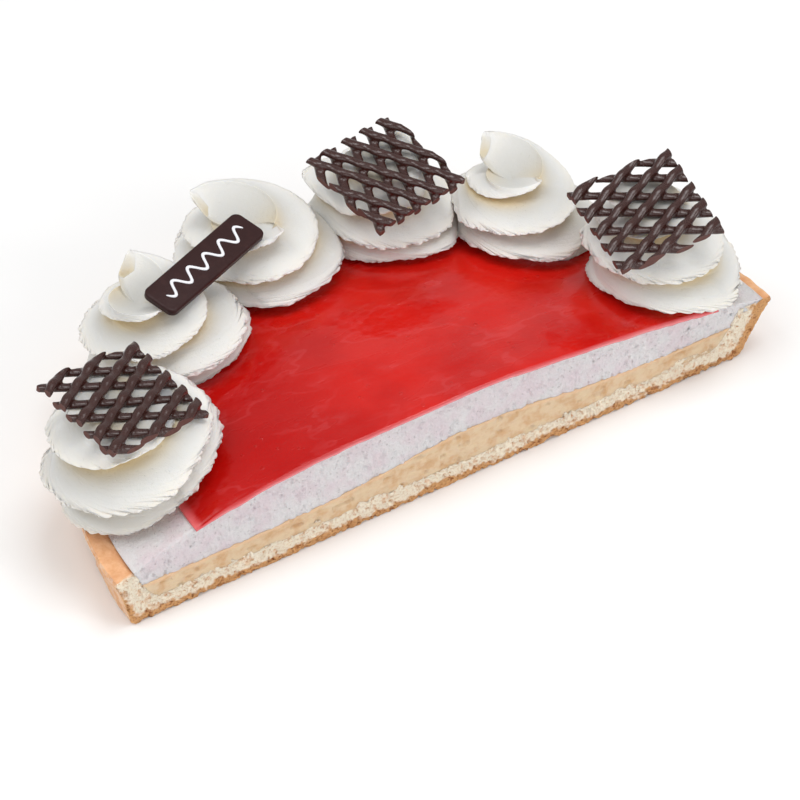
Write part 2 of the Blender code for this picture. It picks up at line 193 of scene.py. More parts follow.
class Bench:
    """A material in the making: every node comes from its one add method."""

    def __init__(self, name: str) -> None:
        """Starts an empty material.

        Args:
            name: the material's name.
        """
        self.material = bpy.data.materials.new(name)
        self.material.use_nodes = True
        self.tree = self.material.node_tree
        self.tree.nodes.clear()

    def add(self, kind: str, settings: dict, values: dict, output: int = 0) -> Strand:
        """Adds a node.

        Args:
            kind: the node's type.
            settings: what is set on the node first, such as a Math node's operation.
            values: what each socket gets: a number, a colour, or a strand to link.
            output: which of the node's outputs is wanted.

        Returns:
            The wanted output.
        """
        node = self.tree.nodes.new(kind)
        for key, value in settings.items():
            setattr(node, key, value)
        for key, value in values.items():
            if isinstance(value, Strand):
                self.tree.links.new(value.socket, node.inputs[key])
            else:
                node.inputs[key].default_value = value
        return Strand(self, node.outputs[output]) if node.outputs else Strand(self, None)

    def place(self) -> Strand:
        """The place on the piece, in metres."""
        return self.add("ShaderNodeTexCoord", {}, {}, output=3)

    def mark(self, name: str) -> Strand:
        """A number that the mesh carries."""
        return self.add("ShaderNodeAttribute", {"attribute_name": name}, {}, output=2)

    def stretched(self, place: Strand, scale: tuple[float, float, float]) -> Strand:
        """Places stretched along the axes, for streaks."""
        return self.add("ShaderNodeMapping", {}, {"Vector": place, "Scale": scale})

    def noise(self, place: Strand, period: float, detail: float = 2.0, rough: float = 0.5) -> Strand:
        """Cloudy noise from 0 to 1, with bumps of one period in metres."""
        values = {"Vector": place, "Scale": 1 / period, "Detail": detail, "Roughness": rough}
        return self.add("ShaderNodeTexNoise", {}, values)

    def cells(self, place: Strand, period: float) -> Strand:
        """Distance from the middles of scattered cells."""
        return self.add("ShaderNodeTexVoronoi", {}, {"Vector": place, "Scale": 1 / period})

    def blend(self, factor: Strand | float, first: Strand | Colour, second: Strand | Colour) -> Strand:
        """A colour between two others."""
        values = {0: factor, 6: first, 7: second}
        return self.add("ShaderNodeMix", {"data_type": "RGBA"}, values, output=2)

    def bump(self, height: Strand, depth: float) -> Strand:
        """A normal roughened by a height from 0 to 1, of a depth in metres."""
        return self.add("ShaderNodeBump", {}, {"Height": height, "Distance": depth})

    def surface(self, values: dict) -> bpy.types.Material:
        """Ends the material with one shader and gives the material.

        Args:
            values: what each of the shader's sockets gets.

        Returns:
            The finished material.
        """
        shader = self.add("ShaderNodeBsdfPrincipled", {}, values)
        self.add("ShaderNodeOutputMaterial", {}, {"Surface": shader})
        return self.material


@dataclass(frozen=True)
class PastryFinish:
    """Shortcrust: pale open crumb where it is cut, baked brown outside and dusted with flour."""

    crumb: Colour = shade(255, 238, 216)
    crumb_shadow: Colour = shade(224, 172, 122)
    crust: Colour = shade(220, 166, 112)
    scorched: Colour = shade(166, 100, 54)
    baked: Colour = shade(240, 192, 150)
    browned: Colour = shade(222, 160, 112)
    flour: Colour = shade(238, 216, 200)

    def material(self) -> bpy.types.Material:
        """Makes the material.

        Returns:
            The finished material.
        """
        bench = Bench("pastry")
        place = bench.place()
        cut = bench.mark("cut")
        baked = bench.mark("baked")
        pit = bench.mark("pit")
        mottle = bench.noise(place, 5 * MM, 4, 0.6)
        speck = bench.noise(place, 0.9 * MM, 3, 0.65)
        grain = bench.noise(place, 0.75 * MM, 4, 0.7).step(0.47, 0.68)
        # Pits darken towards crumb_shadow and, in the bottom band, towards scorched: painted shade in the
        # crumb's gaps, mixed with the real grain tone and browning.
        crumb = bench.blend((pit * 0.45 + grain * 0.6).step(0, 1), self.crumb, self.crumb_shadow)
        bottom = bench.blend((pit * 0.5 + grain * 0.8).step(0, 1), self.crust, self.scorched)
        skin = bench.blend(mottle.step(0.3, 0.75), self.baked, self.browned)
        skin = bench.blend(speck.step(0.42, 0.7) * 0.35, skin, self.browned)
        dust = bench.mark("dusted") * bench.noise(place, 2.4 * MM, 5, 0.7).step(0.46, 0.62)
        skin = bench.blend(dust * 0.55, skin, self.flour)
        colour = bench.blend(baked, crumb, bench.blend(cut, skin, bottom))
        height = speck * 0.4 - grain * cut * 0.8 + bench.noise(place, 0.4 * MM, 2) * 0.3
        normal = bench.bump(height * (cut * 0.6 + 0.4), 0.35 * MM)
        return bench.surface({
            "Base Color": colour,
            "Roughness": 0.82,
            "Specular IOR Level": 0.3,
            "Subsurface Weight": 0.5,
            "Subsurface Radius": (1.0, 0.92, 0.8),
            "Subsurface Scale": 1.2 * MM,
            "Normal": normal,
        })


@dataclass(frozen=True)
class CustardFinish:
    """Baked custard: smooth pale yellow, with a peach skin where it meets the mousse."""

    body: Colour = shade(226, 200, 166)
    deep: Colour = shade(212, 170, 126)
    skin: Colour = shade(236, 196, 158)

    def material(self) -> bpy.types.Material:
        """Makes the material.

        Returns:
            The finished material.
        """
        bench = Bench("custard")
        place = bench.place()
        cloud = bench.noise(place, 6 * MM, 3, 0.6)
        fleck = bench.noise(place, 1.1 * MM, 3, 0.6)
        colour = bench.blend(cloud.step(0.4, 0.7), self.body, self.deep)
        colour = bench.blend(fleck.step(0.6, 0.75) * 0.5, colour, self.deep)
        colour = bench.blend(bench.mark("skin"), colour, self.skin)
        smear = bench.noise(bench.stretched(place, (0.4, 1, 1.6)), 1.3 * MM, 4, 0.6)
        return bench.surface({
            "Base Color": colour,
            "Roughness": 0.5,
            "Specular IOR Level": 0.35,
            "Subsurface Weight": 0.35,
            "Subsurface Radius": (1.0, 0.75, 0.4),
            "Subsurface Scale": 2.5 * MM,
            "Normal": bench.bump(smear, 0.45 * MM),
        })


@dataclass(frozen=True)
class MousseFinish:
    """Airy mousse: white with a breath of lilac, full of fine pores."""

    body: Colour = shade(232, 229, 230)
    tint: Colour = shade(230, 217, 222)
    # pore: painted shade in the pores and drag holes, also used for a fine random speckle.
    pore: Colour = shade(196, 186, 190)

    def material(self) -> bpy.types.Material:
        """Makes the material.

        Returns:
            The finished material.
        """
        bench = Bench("mousse")
        place = bench.place()
        cloud = bench.noise(place, 9 * MM, 3, 0.5)
        drag = bench.noise(bench.stretched(place, (1.0, 1.0, 0.55)), 1.0 * MM, 4, 0.65)
        pore = bench.cells(place, 1.5 * MM)
        hole = (1 - pore.step(0.1, 0.26)) * drag.step(0.42, 0.6)
        colour = bench.blend(cloud.step(0.35, 0.7), self.body, self.tint)
        rough = bench.noise(place, 0.9 * MM, 4, 0.75)
        # The pore colour darkens the holes as painted shade in these recesses, and a fine random speckle.
        colour = bench.blend((hole * 0.4 + rough.step(0.47, 0.6) * 0.26).step(0, 1), colour, self.pore)
        height = drag * 0.8 - hole * 0.7 + rough * 0.5
        return bench.surface({
            "Base Color": colour,
            "Roughness": 0.72,
            "Specular IOR Level": 0.25,
            "Subsurface Weight": 0.3,
            "Subsurface Radius": (1.0, 0.8, 0.75),
            "Subsurface Scale": 2.5 * MM,
            "Normal": bench.bump(height, 0.9 * MM),
        })


@dataclass(frozen=True)
class GlazeFinish:
    """Strawberry jelly: saturated red, pink and clear where it thins out at its edges."""

    red: Colour = shade(208, 28, 20)
    deep: Colour = shade(176, 4, 3)
    edge: Colour = shade(238, 122, 128)

    def material(self) -> bpy.types.Material:
        """Makes the material.

        Returns:
            The finished material.
        """
        bench = Bench("strawberry_glaze")
        place = bench.place()
        cloud = bench.noise(place, 34 * MM, 3, 0.55)
        streak = bench.noise(bench.stretched(place, (0.35, 1.0, 1.0)), 9 * MM, 4, 0.55)
        colour = bench.blend(cloud.step(0.38, 0.66) * 0.55, self.red, self.deep)
        shadow = bench.mark("shadow")
        thin = bench.mark("thin")
        colour = bench.blend(shadow, colour, self.deep)
        colour = bench.blend(thin, colour, self.edge)
        bubble = 1 - bench.cells(place, 7 * MM).step(0.05, 0.12)
        height = streak * 0.5 + bubble * 0.16 + bench.noise(place, 2.5 * MM, 3, 0.5) * 0.14
        haze = bench.noise(bench.stretched(place, (0.5, 1.3, 1.0)), 22 * MM, 4, 0.6)
        fold = bench.noise(bench.stretched(place, (0.6, 1.2, 1.0)), 24 * MM, 3, 0.6) - 0.5
        # Painted sheen: thin light lines along the folds, tinted towards the pale edge colour.
        wrinkle_sheen = (1 - (fold * fold).step(0.0, 0.0006)) * haze.step(0.4, 0.6)
        colour = bench.blend(wrinkle_sheen * 0.08, colour, self.edge)
        coat = (haze.step(0.3, 0.65) * 0.55 + 0.12) * (1 - shadow) + thin * 0.4
        return bench.surface({
            "Base Color": colour,
            "Roughness": haze.step(0.35, 0.7) * 0.2 + 0.16,
            "Specular IOR Level": 0.22,
            "Coat Weight": coat,
            "Coat Roughness": 0.05,
            "Subsurface Weight": 0.25,
            "Subsurface Radius": (1.0, 0.12, 0.08),
            "Subsurface Scale": 3 * MM,
            "Normal": bench.bump(height, 1.1 * MM),
        })


@dataclass(frozen=True)
class CreamFinish:
    """Whipped cream: off-white and matt, with painted light on the lips, painted shade on the faces and warm
    painted shade deep in the creases.
    """

    # body is the faces' painted shade, rim the painted light at the lips, crease the warm painted shade deep
    # in the creases.
    body: Colour = shade(198, 197, 192)
    rim: Colour = shade(236, 236, 234)
    crease: Colour = shade(228, 196, 122)

    def material(self) -> bpy.types.Material:
        """Makes the material.

        Returns:
            The finished material.
        """
        bench = Bench("whipped_cream")
        place = bench.place()
        crease = bench.mark("crease")
        # Painted light and shade: the rim mark lightens each face towards its lip, the crease mark tints the
        # creases with warm painted shade.
        colour = bench.blend(bench.mark("rim"), self.body, self.rim)
        colour = bench.blend(crease * 0.9, colour, self.crease)
        pore = bench.noise(place, 0.55 * MM, 3, 0.6)
        soft = bench.noise(place, 1.7 * MM, 3, 0.55)
        hole = 1 - bench.cells(place, 2.2 * MM).step(0.06, 0.13)
        height = pore * 0.45 + soft * 0.55 - hole * 0.5
        return bench.surface({
            "Base Color": colour,
            "Roughness": 0.6,
            "Specular IOR Level": 0.3,
            "Subsurface Weight": 0.7,
            "Subsurface Radius": (1.0, 0.92, 0.78),
            "Subsurface Scale": 1.3 * MM,
            "Normal": bench.bump(height, 0.32 * MM),
        })


@dataclass(frozen=True)
class ChocolateFinish:
    """Dark chocolate with a dull shine, or its matt broken faces."""

    name: str
    body: Colour
    worn: Colour
    roughness: float
    coat: float
    gloss: float
    relief: float

    def material(self) -> bpy.types.Material:
        """Makes the material.

        Returns:
            The finished material.
        """
        bench = Bench(self.name)
        place = bench.place()
        cloud = bench.noise(place, 3.5 * MM, 4, 0.6)
        speck = bench.noise(place, 0.7 * MM, 3, 0.6)
        wear = cloud.step(0.45, 0.75) * 0.6 + speck.step(0.62, 0.75) * 0.3
        colour = bench.blend(wear, self.body, self.worn)
        height = cloud * 0.6 + speck * 0.4
        return bench.surface({
            "Base Color": colour,
            "Roughness": speck.step(0.4, 0.7) * 0.14 + self.roughness,
            "Specular IOR Level": self.gloss,
            "Coat Weight": self.coat,
            "Coat Roughness": 0.16,
            "Normal": bench.bump(height, self.relief),
        })


MOULDED = ChocolateFinish("dark_chocolate", shade(56, 26, 21), shade(68, 37, 31), 0.24, 0.3, 0.45, 0.05 * MM)
BAR = ChocolateFinish("bar_chocolate", shade(46, 18, 17), shade(58, 29, 27), 0.38, 0.0, 0.28, 0.2 * MM)
BROKEN = ChocolateFinish("broken_chocolate", shade(96, 60, 54), shade(112, 74, 66), 0.62, 0.0, 0.3, 0.3 * MM)


@dataclass(frozen=True)
class IcingFinish:
    """White icing, piped thin."""

    body: Colour = shade(240, 240, 244)

    def material(self) -> bpy.types.Material:
        """Makes the material.

        Returns:
            The finished material.
        """
        bench = Bench("white_icing")
        place = bench.place()
        soft = bench.noise(place, 0.6 * MM, 2)
        colour = bench.blend(soft.step(0.4, 0.7) * 0.3, self.body, shade(222, 224, 232))
        return bench.surface({
            "Base Color": colour,
            "Roughness": 0.45,
            "Normal": bench.bump(soft, 0.1 * MM),
        })


def from_bmesh(name: str, bm: bmesh.types.BMesh, *materials: bpy.types.Material) -> bpy.types.Object:
    """Makes a piece of a bmesh, which it uses up.

    Args:
        name: the piece's name.
        bm: its shape.
        materials: its materials, in the order of their numbers on the faces.

    Returns:
        The new object.
    """
    mesh = bpy.data.meshes.new(name)
    bm.to_mesh(mesh)
    bm.free()
    for material in materials:
        mesh.materials.append(material)
    piece = bpy.data.objects.new(name, mesh)
    bpy.context.scene.collection.objects.link(piece)
    return piece


def rolled_sheet(name: str, points: Array, marks: dict[str, Array] | None = None) -> bpy.types.Object:
    """A closed skin from rings of points: a grid is laid on the rings, rolled up and welded.

    Args:
        name: the piece's name.
        points: places of shape (rings, points round each ring, 3).
        marks: numbers that the material reads, of shape (rings, points round each ring).

    Returns:
        The new object, with its faces pointing out.
    """
    rings, around, _ = points.shape
    bm = bmesh.new()
    bmesh.ops.create_grid(bm, x_segments=around, y_segments=rings - 1, size=1.0)
    mesh = bpy.data.meshes.new(name)
    bm.to_mesh(mesh)
    bm.free()
    closed = np.concatenate([points, points[:, :1]], axis=1)
    mesh.vertices.foreach_set("co", closed.astype(np.float32).reshape(-1))
    for mark, values in (marks or {}).items():
        layer = mesh.attributes.new(mark, "FLOAT", "POINT")
        values = np.broadcast_to(values, points.shape[:2])
        values = np.concatenate([values, values[:, :1]], axis=1)
        layer.data.foreach_set("value", values.astype(np.float32).reshape(-1))
    bm = bmesh.new()
    bm.from_mesh(mesh)
    bmesh.ops.remove_doubles(bm, verts=bm.verts, dist=WELD)
    bmesh.ops.dissolve_degenerate(bm, edges=bm.edges, dist=WELD)
    open_edges = [edge for edge in bm.edges if edge.is_boundary]
    if open_edges:
        bmesh.ops.holes_fill(bm, edges=open_edges, sides=0)
    bmesh.ops.recalc_face_normals(bm, faces=bm.faces)
    bm.to_mesh(mesh)
    bm.free()
    mesh.shade_smooth()
    piece = bpy.data.objects.new(name, mesh)
    bpy.context.scene.collection.objects.link(piece)
    return piece


def settle(piece: bpy.types.Object, slot: Slot, *nodes: str) -> bpy.types.Object:
    """Puts a finished piece on the tart, hides the solids that it replaces and logs its number of faces.

    Args:
        piece: the finished piece.
        slot: the material slot that it takes its finish from; not used.
        nodes: the solids that it replaces.

    Returns:
        The same piece.
    """
    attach(piece, "root")
    if nodes:
        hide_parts(*nodes)
    log.info("%s: %d faces", piece.name, len(piece.data.polygons))
    return piece


def skinned(
    name: str,
    points: Array,
    material: bpy.types.Material,
    slot: Slot,
    *nodes: str,
    marks: dict[str, Array] | None = None,
) -> bpy.types.Object:
    """Makes a finished piece of rings of points.

    Args:
        name: the piece's name.
        points: its rings, given from the tart's centre.
        material: its finish.
        slot: the material slot that it takes its finish from.
        nodes: the solids that it replaces.
        marks: numbers that the material reads.

    Returns:
        The finished piece.
    """
    piece = rolled_sheet(name, points + np.array(TART_CENTRE), marks)
    piece.data.materials.append(material)
    return settle(piece, slot, *nodes)


@dataclass(frozen=True)
class TartForm:
    """The tart's own shape, from its centre in the middle of the cut."""

    top_radius: float = 140 * MM
    base_left: float = 135 * MM
    base_right: float = 127 * MM
    rim: float = 23 * MM
    rim_width_left: float = 8 * MM
    rim_width_right: float = 15 * MM
    foot_left: float = 14 * MM
    foot_right: float = 25 * MM
    floor: float = 8.5 * MM
    custard: float = 16.6 * MM
    mound_rise: float = 6.9 * MM
    mound_x: float = 8 * MM
    mound_reach: float = 46 * MM
    mousse_edge_height: float = 24 * MM
    dome_rise: float = 16.5 * MM
    dome_power_left: float = 3.1
    dome_power_right: float = 1.62
    lap_left: float = 0.6 * MM
    lap_right: float = 11 * MM
    ripple: float = 0.3 * MM
    glaze_left: float = 108 * MM
    glaze_right: float = 114 * MM
    glaze_thickness: float = 2.2 * MM
    glaze_edge: float = 0.7 * MM
    glaze_taper: float = 12 * MM

    @staticmethod
    def between(left: float, right: float, angle: Array) -> Array:
        """A size that changes round the tart, from the left end of the cut to the right end."""
        return left + (right - left) * (1 + np.cos(angle)) / 2

    @staticmethod
    def polar(x: Array, y: Array) -> tuple[Array, Array]:
        """Radius and angle of places on the tart."""
        return np.hypot(x, y), np.arctan2(np.maximum(y, 0.0), x)

    def rim_height(self, angle: Array) -> Array:
        """The rim's upper side."""
        return self.rim + 0.45 * MM * np.sin(5 * angle + 0.6) + 0.25 * MM * np.sin(9 * angle + 2)

    def rim_radius(self, angle: Array) -> Array:
        """The rim's outer side."""
        return self.top_radius + 0.5 * MM * np.sin(4 * angle + 1.1) + 0.3 * MM * np.sin(11 * angle)

    def base_radius(self, angle: Array) -> Array:
        """The outer side at the foot of the wall."""
        return self.between(self.base_left, self.base_right, angle)

    def wall_radius(self, angle: Array, height: Array | float) -> Array:
        """The inner side of the crust's wall at a height.

        Args:
            angle: ways round the tart, in radians.
            height: heights above the table.

        Returns:
            The radius at each place.
        """
        foot = self.top_radius - self.between(self.foot_left, self.foot_right, angle)
        top = self.wall_top(angle)
        return foot + (top - foot) * (height - self.floor) / (self.rim - self.floor)

    def wall_top(self, angle: Array) -> Array:
        """The inner side of the rim."""
        return self.top_radius - self.between(self.rim_width_left, self.rim_width_right, angle)

    def custard_height(self, x: Array, y: Array) -> Array:
        """The custard's upper side."""
        spread = ((x - self.mound_x) ** 2 + y**2) / self.mound_reach**2
        return self.custard + self.mound_rise * np.exp(-spread)

    def mousse_edge(self, angle: Array) -> Array:
        """How far out the mousse reaches."""
        return self.wall_top(angle) + self.between(self.lap_left, self.lap_right, angle)

    def mousse_height(self, x: Array, y: Array) -> Array:
        """The mousse's upper side, a dome with a few low ripples.

        Args:
            x: places along the cut.
            y: places back from the cut.

        Returns:
            The height at each place.
        """
        radius, angle = self.polar(x, y)
        share = np.minimum(radius / self.mousse_edge(angle), 1.0)
        fall = share ** self.between(self.dome_power_left, self.dome_power_right, angle)
        ripple = self.ripple * np.sin(x / (13 * MM)) * np.cos(y / (17 * MM))
        return self.mousse_edge_height + (self.dome_rise + ripple) * (1 - fall)

    def glaze_radius(self, angle: Array) -> Array:
        """How far out the glaze reaches."""
        wave = 1.2 * MM * np.sin(7 * angle + 0.4)
        return self.between(self.glaze_left, self.glaze_right, angle) + wave * np.sin(angle)

    def glaze_depth(self, x: Array, y: Array) -> Array:
        """The glaze's thickness.

        Args:
            x: places along the cut.
            y: places back from the cut.

        Returns:
            The thickness at each place.
        """
        radius, angle = self.polar(x, y)
        inward = (self.glaze_radius(angle) - radius) / self.glaze_taper
        return self.glaze_edge + (self.glaze_thickness - self.glaze_edge) * ease(inward)

    def glaze_top(self, x: Array, y: Array) -> Array:
        """The glaze's upper side, with slow swells that bend what it mirrors."""
        swell = 0.22 * MM * GRAIN.at(26 * MM, x, y) + 0.07 * MM * GRAIN.at(8 * MM, x, y, 5 * MM)
        return self.mousse_height(x, y) + 0.3 * MM + self.glaze_depth(x, y) + swell

    def resting_height(self, x: Array, y: Array) -> Array:
        """What the cream stands on: the glaze, the mousse or the crust's rim.

        Args:
            x: places along the cut.
            y: places back from the cut.

        Returns:
            The height at each place.
        """
        radius, angle = self.polar(x, y)
        glazed = ease((self.glaze_radius(angle) - radius) / (2 * MM) + 1)
        return self.mousse_height(x, y) + glazed * (0.3 * MM + self.glaze_depth(x, y))


FORM = TartForm()


@dataclass(frozen=True)
class Layer:
    """One layer of the tart as a closed skin of rings, each from the cut to the round side.

    A ring climbs the cut face, runs over the top to the side, goes down the side and comes back
    underneath. The rings fan out, so that the first and the last lie along the ends of the cut.
    """

    name: str
    stations: int
    face_rows: int
    top_rows: int
    under_rows: int
    crowding: float
    side: Callable[[Array, Array], tuple[Array, Array]]
    top: Callable[[Array, Array], Array]
    under: Callable[[Array, Array], Array]

    def rings(self) -> tuple[Array, dict[str, Array]]:
        """Works out the rings.

        Returns:
            The places, of shape (rings, points, 3), and the masks "face", "side" and "rise".
        """
        turn = np.linspace(0.0, 1.0, self.stations)[:, None]
        angle = HALF_TURN * turn
        along = 0.5 * np.cos(angle) + 0.5 * (1 - 2 * turn)
        end_angle = np.where(along >= 0, 0.0, HALF_TURN)
        rise = np.linspace(0.0, 1.0, self.face_rows)[None, :]

        end_radius, _ = self.side(end_angle, rise)
        face_x = np.broadcast_to(along * end_radius, (self.stations, self.face_rows))
        edge_x = face_x[:, -1:]
        foot_x = face_x[:, :1]
        high = self.top(edge_x, np.zeros_like(edge_x))
        low = self.under(foot_x, np.zeros_like(foot_x))
        face = np.stack([face_x, np.zeros_like(face_x), low + (high - low) * rise], axis=-1)

        radius, height = self.side(angle, rise)
        height = np.broadcast_to(height, face_x.shape)
        side = np.stack([radius * np.cos(angle), radius * np.sin(angle), height], axis=-1)

        over = self._across(face[:, -1:], side[:, -1:], self.top_rows, self.top)
        below = self._across(face[:, :1], side[:, :1], self.under_rows, self.under)[:, ::-1]
        points = np.concatenate([face, over, side[:, ::-1], below], axis=1)
        blank = [np.zeros(part.shape[:2]) for part in (face, over, side, below)]
        climbs = [blank[0] + rise, blank[1] + 1, blank[2] + rise[:, ::-1], blank[3]]
        masks = {
            "face": np.concatenate([blank[0] + 1, *blank[1:]], axis=1),
            "side": np.concatenate([*blank[:2], blank[2] + 1, blank[3]], axis=1),
            "rise": np.concatenate(climbs, axis=1),
        }
        return points, masks

    def _across(self, start: Array, end: Array, rows: int, height: Callable) -> Array:
        """Rows of points between the cut's edge and the round side, closer together near the side.

        Args:
            start: places along the cut's edge.
            end: places along the round side.
            rows: how many rows to lay between them.
            height: the surface that they lie on.

        Returns:
            The places, of shape (rings, rows, 3).
        """
        share = 1 - (1 - np.arange(1, rows + 1) / (rows + 1)) ** self.crowding
        share = share[None, :, None]
        points = start + (end - start) * share
        points[..., 2] = height(points[..., 0], points[..., 1])
        return points


def near_cut(points: Array, reach: float) -> Array:
    """1 on the cut face, fading to 0 behind it."""
    return np.exp(-np.maximum(points[..., 1], 0.0) / reach)


@dataclass
class Crust:
    """The crust: an open crumb at the cut, a leaning wall and a rim baked dark."""

    stations: int = 760
    rounding: float = 1.5 * MM
    fillet: float = 2.5 * MM
    belly: float = 0.8 * MM
    skin: float = 3.6 * MM
    skin_border: Bumps = Bumps(((5, 1.5), (1.3, 1.3)))
    crumb_lift: float = 0.8
    crumb_heaps: Bumps = Bumps(((6, 2.2), (1.5, 1.5)))
    crumb_proud: float = 0.1
    lumps: Bumps = Bumps(((2.6, 0.5), (1.0, 0.7)))
    lump_height: float = 0.35
    gaps: Bumps = Bumps(((1.7, 1.0), (0.8, 0.6)))
    pit_depth: float = 0.5
    crags: Bumps = Bumps(((7, 0.32), (2.2, 0.16)))
    crumbling: Bumps = Bumps(((2.4, 1.0), (1.0, 0.5)))
    crumbled: float = 1.3 * MM
    crumbled_reach: float = 1.6 * MM
    rim_bumps: Bumps = Bumps(((3.5, 0.3), (1.3, 0.15)))
    finish: PastryFinish = PastryFinish()

    def side(self, angle: Array, rise: Array) -> tuple[Array, Array]:
        """The outer wall, from its foot to the rim.

        Args:
            angle: ways round the tart, in radians.
            rise: shares of the way up the side.

        Returns:
            The radius and the height at each.
        """
        base = FORM.base_radius(angle)
        top = FORM.rim_radius(angle)
        rim = FORM.rim_height(angle)
        height = rim * rise
        lean = base + (top - base) * rise - self.belly * np.sin(HALF_TURN * rise)
        foot = self.rounding * (1 - ease(height / self.rounding))
        lip = self.rounding * (1 - ease((rim - height) / self.rounding)) * 0.7
        return lean - foot - lip, height

    def top(self, x: Array, y: Array) -> Array:
        """The upper side: the floor, the inner wall and the rim.

        Args:
            x: places along the cut.
            y: places back from the cut.

        Returns:
            The height at each place.
        """
        radius, angle = FORM.polar(x, y)
        foot = FORM.wall_radius(angle, FORM.floor) - self.fillet
        share = (radius - foot) / (FORM.wall_top(angle) - foot)
        heaps = np.maximum(self.crumb_lift + self.crumb_heaps.at(x, y), 0.0) * MM
        floor = FORM.floor + heaps * (1 - np.clip(share * 4 + 1, 0, 1))
        return floor + (FORM.rim_height(angle) - FORM.floor) * np.clip(share, 0, 1) ** 1.25

    def build(self) -> bpy.types.Object:
        """Builds and dresses the crust.

        Returns:
            The finished piece.
        """
        layer = Layer("crust", self.stations, 46, 22, 4, 2.6, self.side, self.top, lambda x, y: 0 * x)
        points, masks = layer.rings()
        x, y, z = (points[..., axis] for axis in range(3))
        radius, angle = FORM.polar(x, y)
        cut = near_cut(points, 1.2 * MM)

        # pit: the crumb's gaps, sunk into the cut face; the material paints them darker as painted shade.
        pit = ease((self.gaps.at(x, y, z) - 0.12) / 0.6)
        relief = self.crumb_proud + self.lumps.at(z, x, y) * self.lump_height - pit * self.pit_depth
        points[..., 1] -= relief * MM * cut

        inward = np.minimum(z / 1.15, FORM.base_radius(angle) + (z / FORM.rim) * 8 * MM - radius)
        ragged = inward + self.skin_border.at(x, z) * MM
        skin = 1 - ease((ragged - 0.55 * self.skin) / (0.45 * self.skin))
        baked = np.where(masks["face"] > 0, skin, 1.0)

        outward = masks["side"] * (1 - cut) * self.crags.at(x, y, z) * MM
        points[..., 0] += outward * np.cos(angle)
        points[..., 1] += outward * np.sin(angle)
        low = np.exp(-z / self.crumbled_reach)
        crumble = np.maximum(self.crumbling.at(x, y), 0.0) * self.crumbled
        points[..., 2] += low * crumble * np.clip(masks["face"] + masks["side"], 0, 1)
        on_rim = (1 - masks["face"]) * ease((z - FORM.rim + 4 * MM) / (3 * MM))
        points[..., 2] += on_rim * self.rim_bumps.at(x, y) * MM

        marks = {
            "cut": masks["face"],
            "baked": baked,
            "pit": pit * cut,
            "dusted": masks["side"],
        }
        finish = self.finish.material()
        return skinned("crust_baked", points, finish, Slot.PASTRY, "crust", marks=marks)


@dataclass
class Custard:
    """The custard: it fills the crust, smeared a little by the knife."""

    stations: int = 620
    skin: float = 1.5 * MM
    smearing: float = 0.32
    hole_depth: float = 0.9
    sinking: float = 0.3
    sinking_reach: float = 1.6 * MM
    finish: CustardFinish = CustardFinish()

    def side(self, angle: Array, rise: Array) -> tuple[Array, Array]:
        """The side against the crust's wall."""
        height = FORM.floor + (FORM.custard - FORM.floor) * rise
        return FORM.wall_radius(angle, height) + 0.2 * MM - 2.6 * MM * (1 - rise) ** 2, height

    def build(self) -> bpy.types.Object:
        """Builds and dresses the custard.

        Returns:
            The finished piece.
        """

        def under(x: Array, y: Array) -> Array:
            """The crumb below the custard is uneven."""
            return FORM.floor - 0.2 * MM + 0.7 * MM * GRAIN.at(4.2 * MM, x, y)

        layer = Layer("custard", self.stations, 20, 7, 5, 1.4, self.side, FORM.custard_height, under)
        points, _ = layer.rings()
        x, y, z = (points[..., axis] for axis in range(3))
        cut = near_cut(points, 1.5 * MM)
        smear = GRAIN.at(3.4 * MM, 0.5 * x, y, z) + 0.5 * GRAIN.at(1.3 * MM, 0.7 * x, y, z)
        hole = ease((GRAIN.at(2.1 * MM, 0.6 * x, y + 9 * MM, z) - 0.45) / 0.3)
        sunk = self.sinking * np.exp(-np.maximum(z - FORM.floor, 0.0) / self.sinking_reach)
        points[..., 1] -= cut * (0.2 + self.smearing * smear - self.hole_depth * hole - sunk) * MM
        below = (FORM.custard_height(x, y) - z) / self.skin
        marks = {"skin": 1 - ease(below - 0.15 + 0.25 * GRAIN.at(2.5 * MM, x, z))}
        finish = self.finish.material()
        return skinned("custard_filling", points, finish, Slot.CUSTARD, "custard", marks=marks)


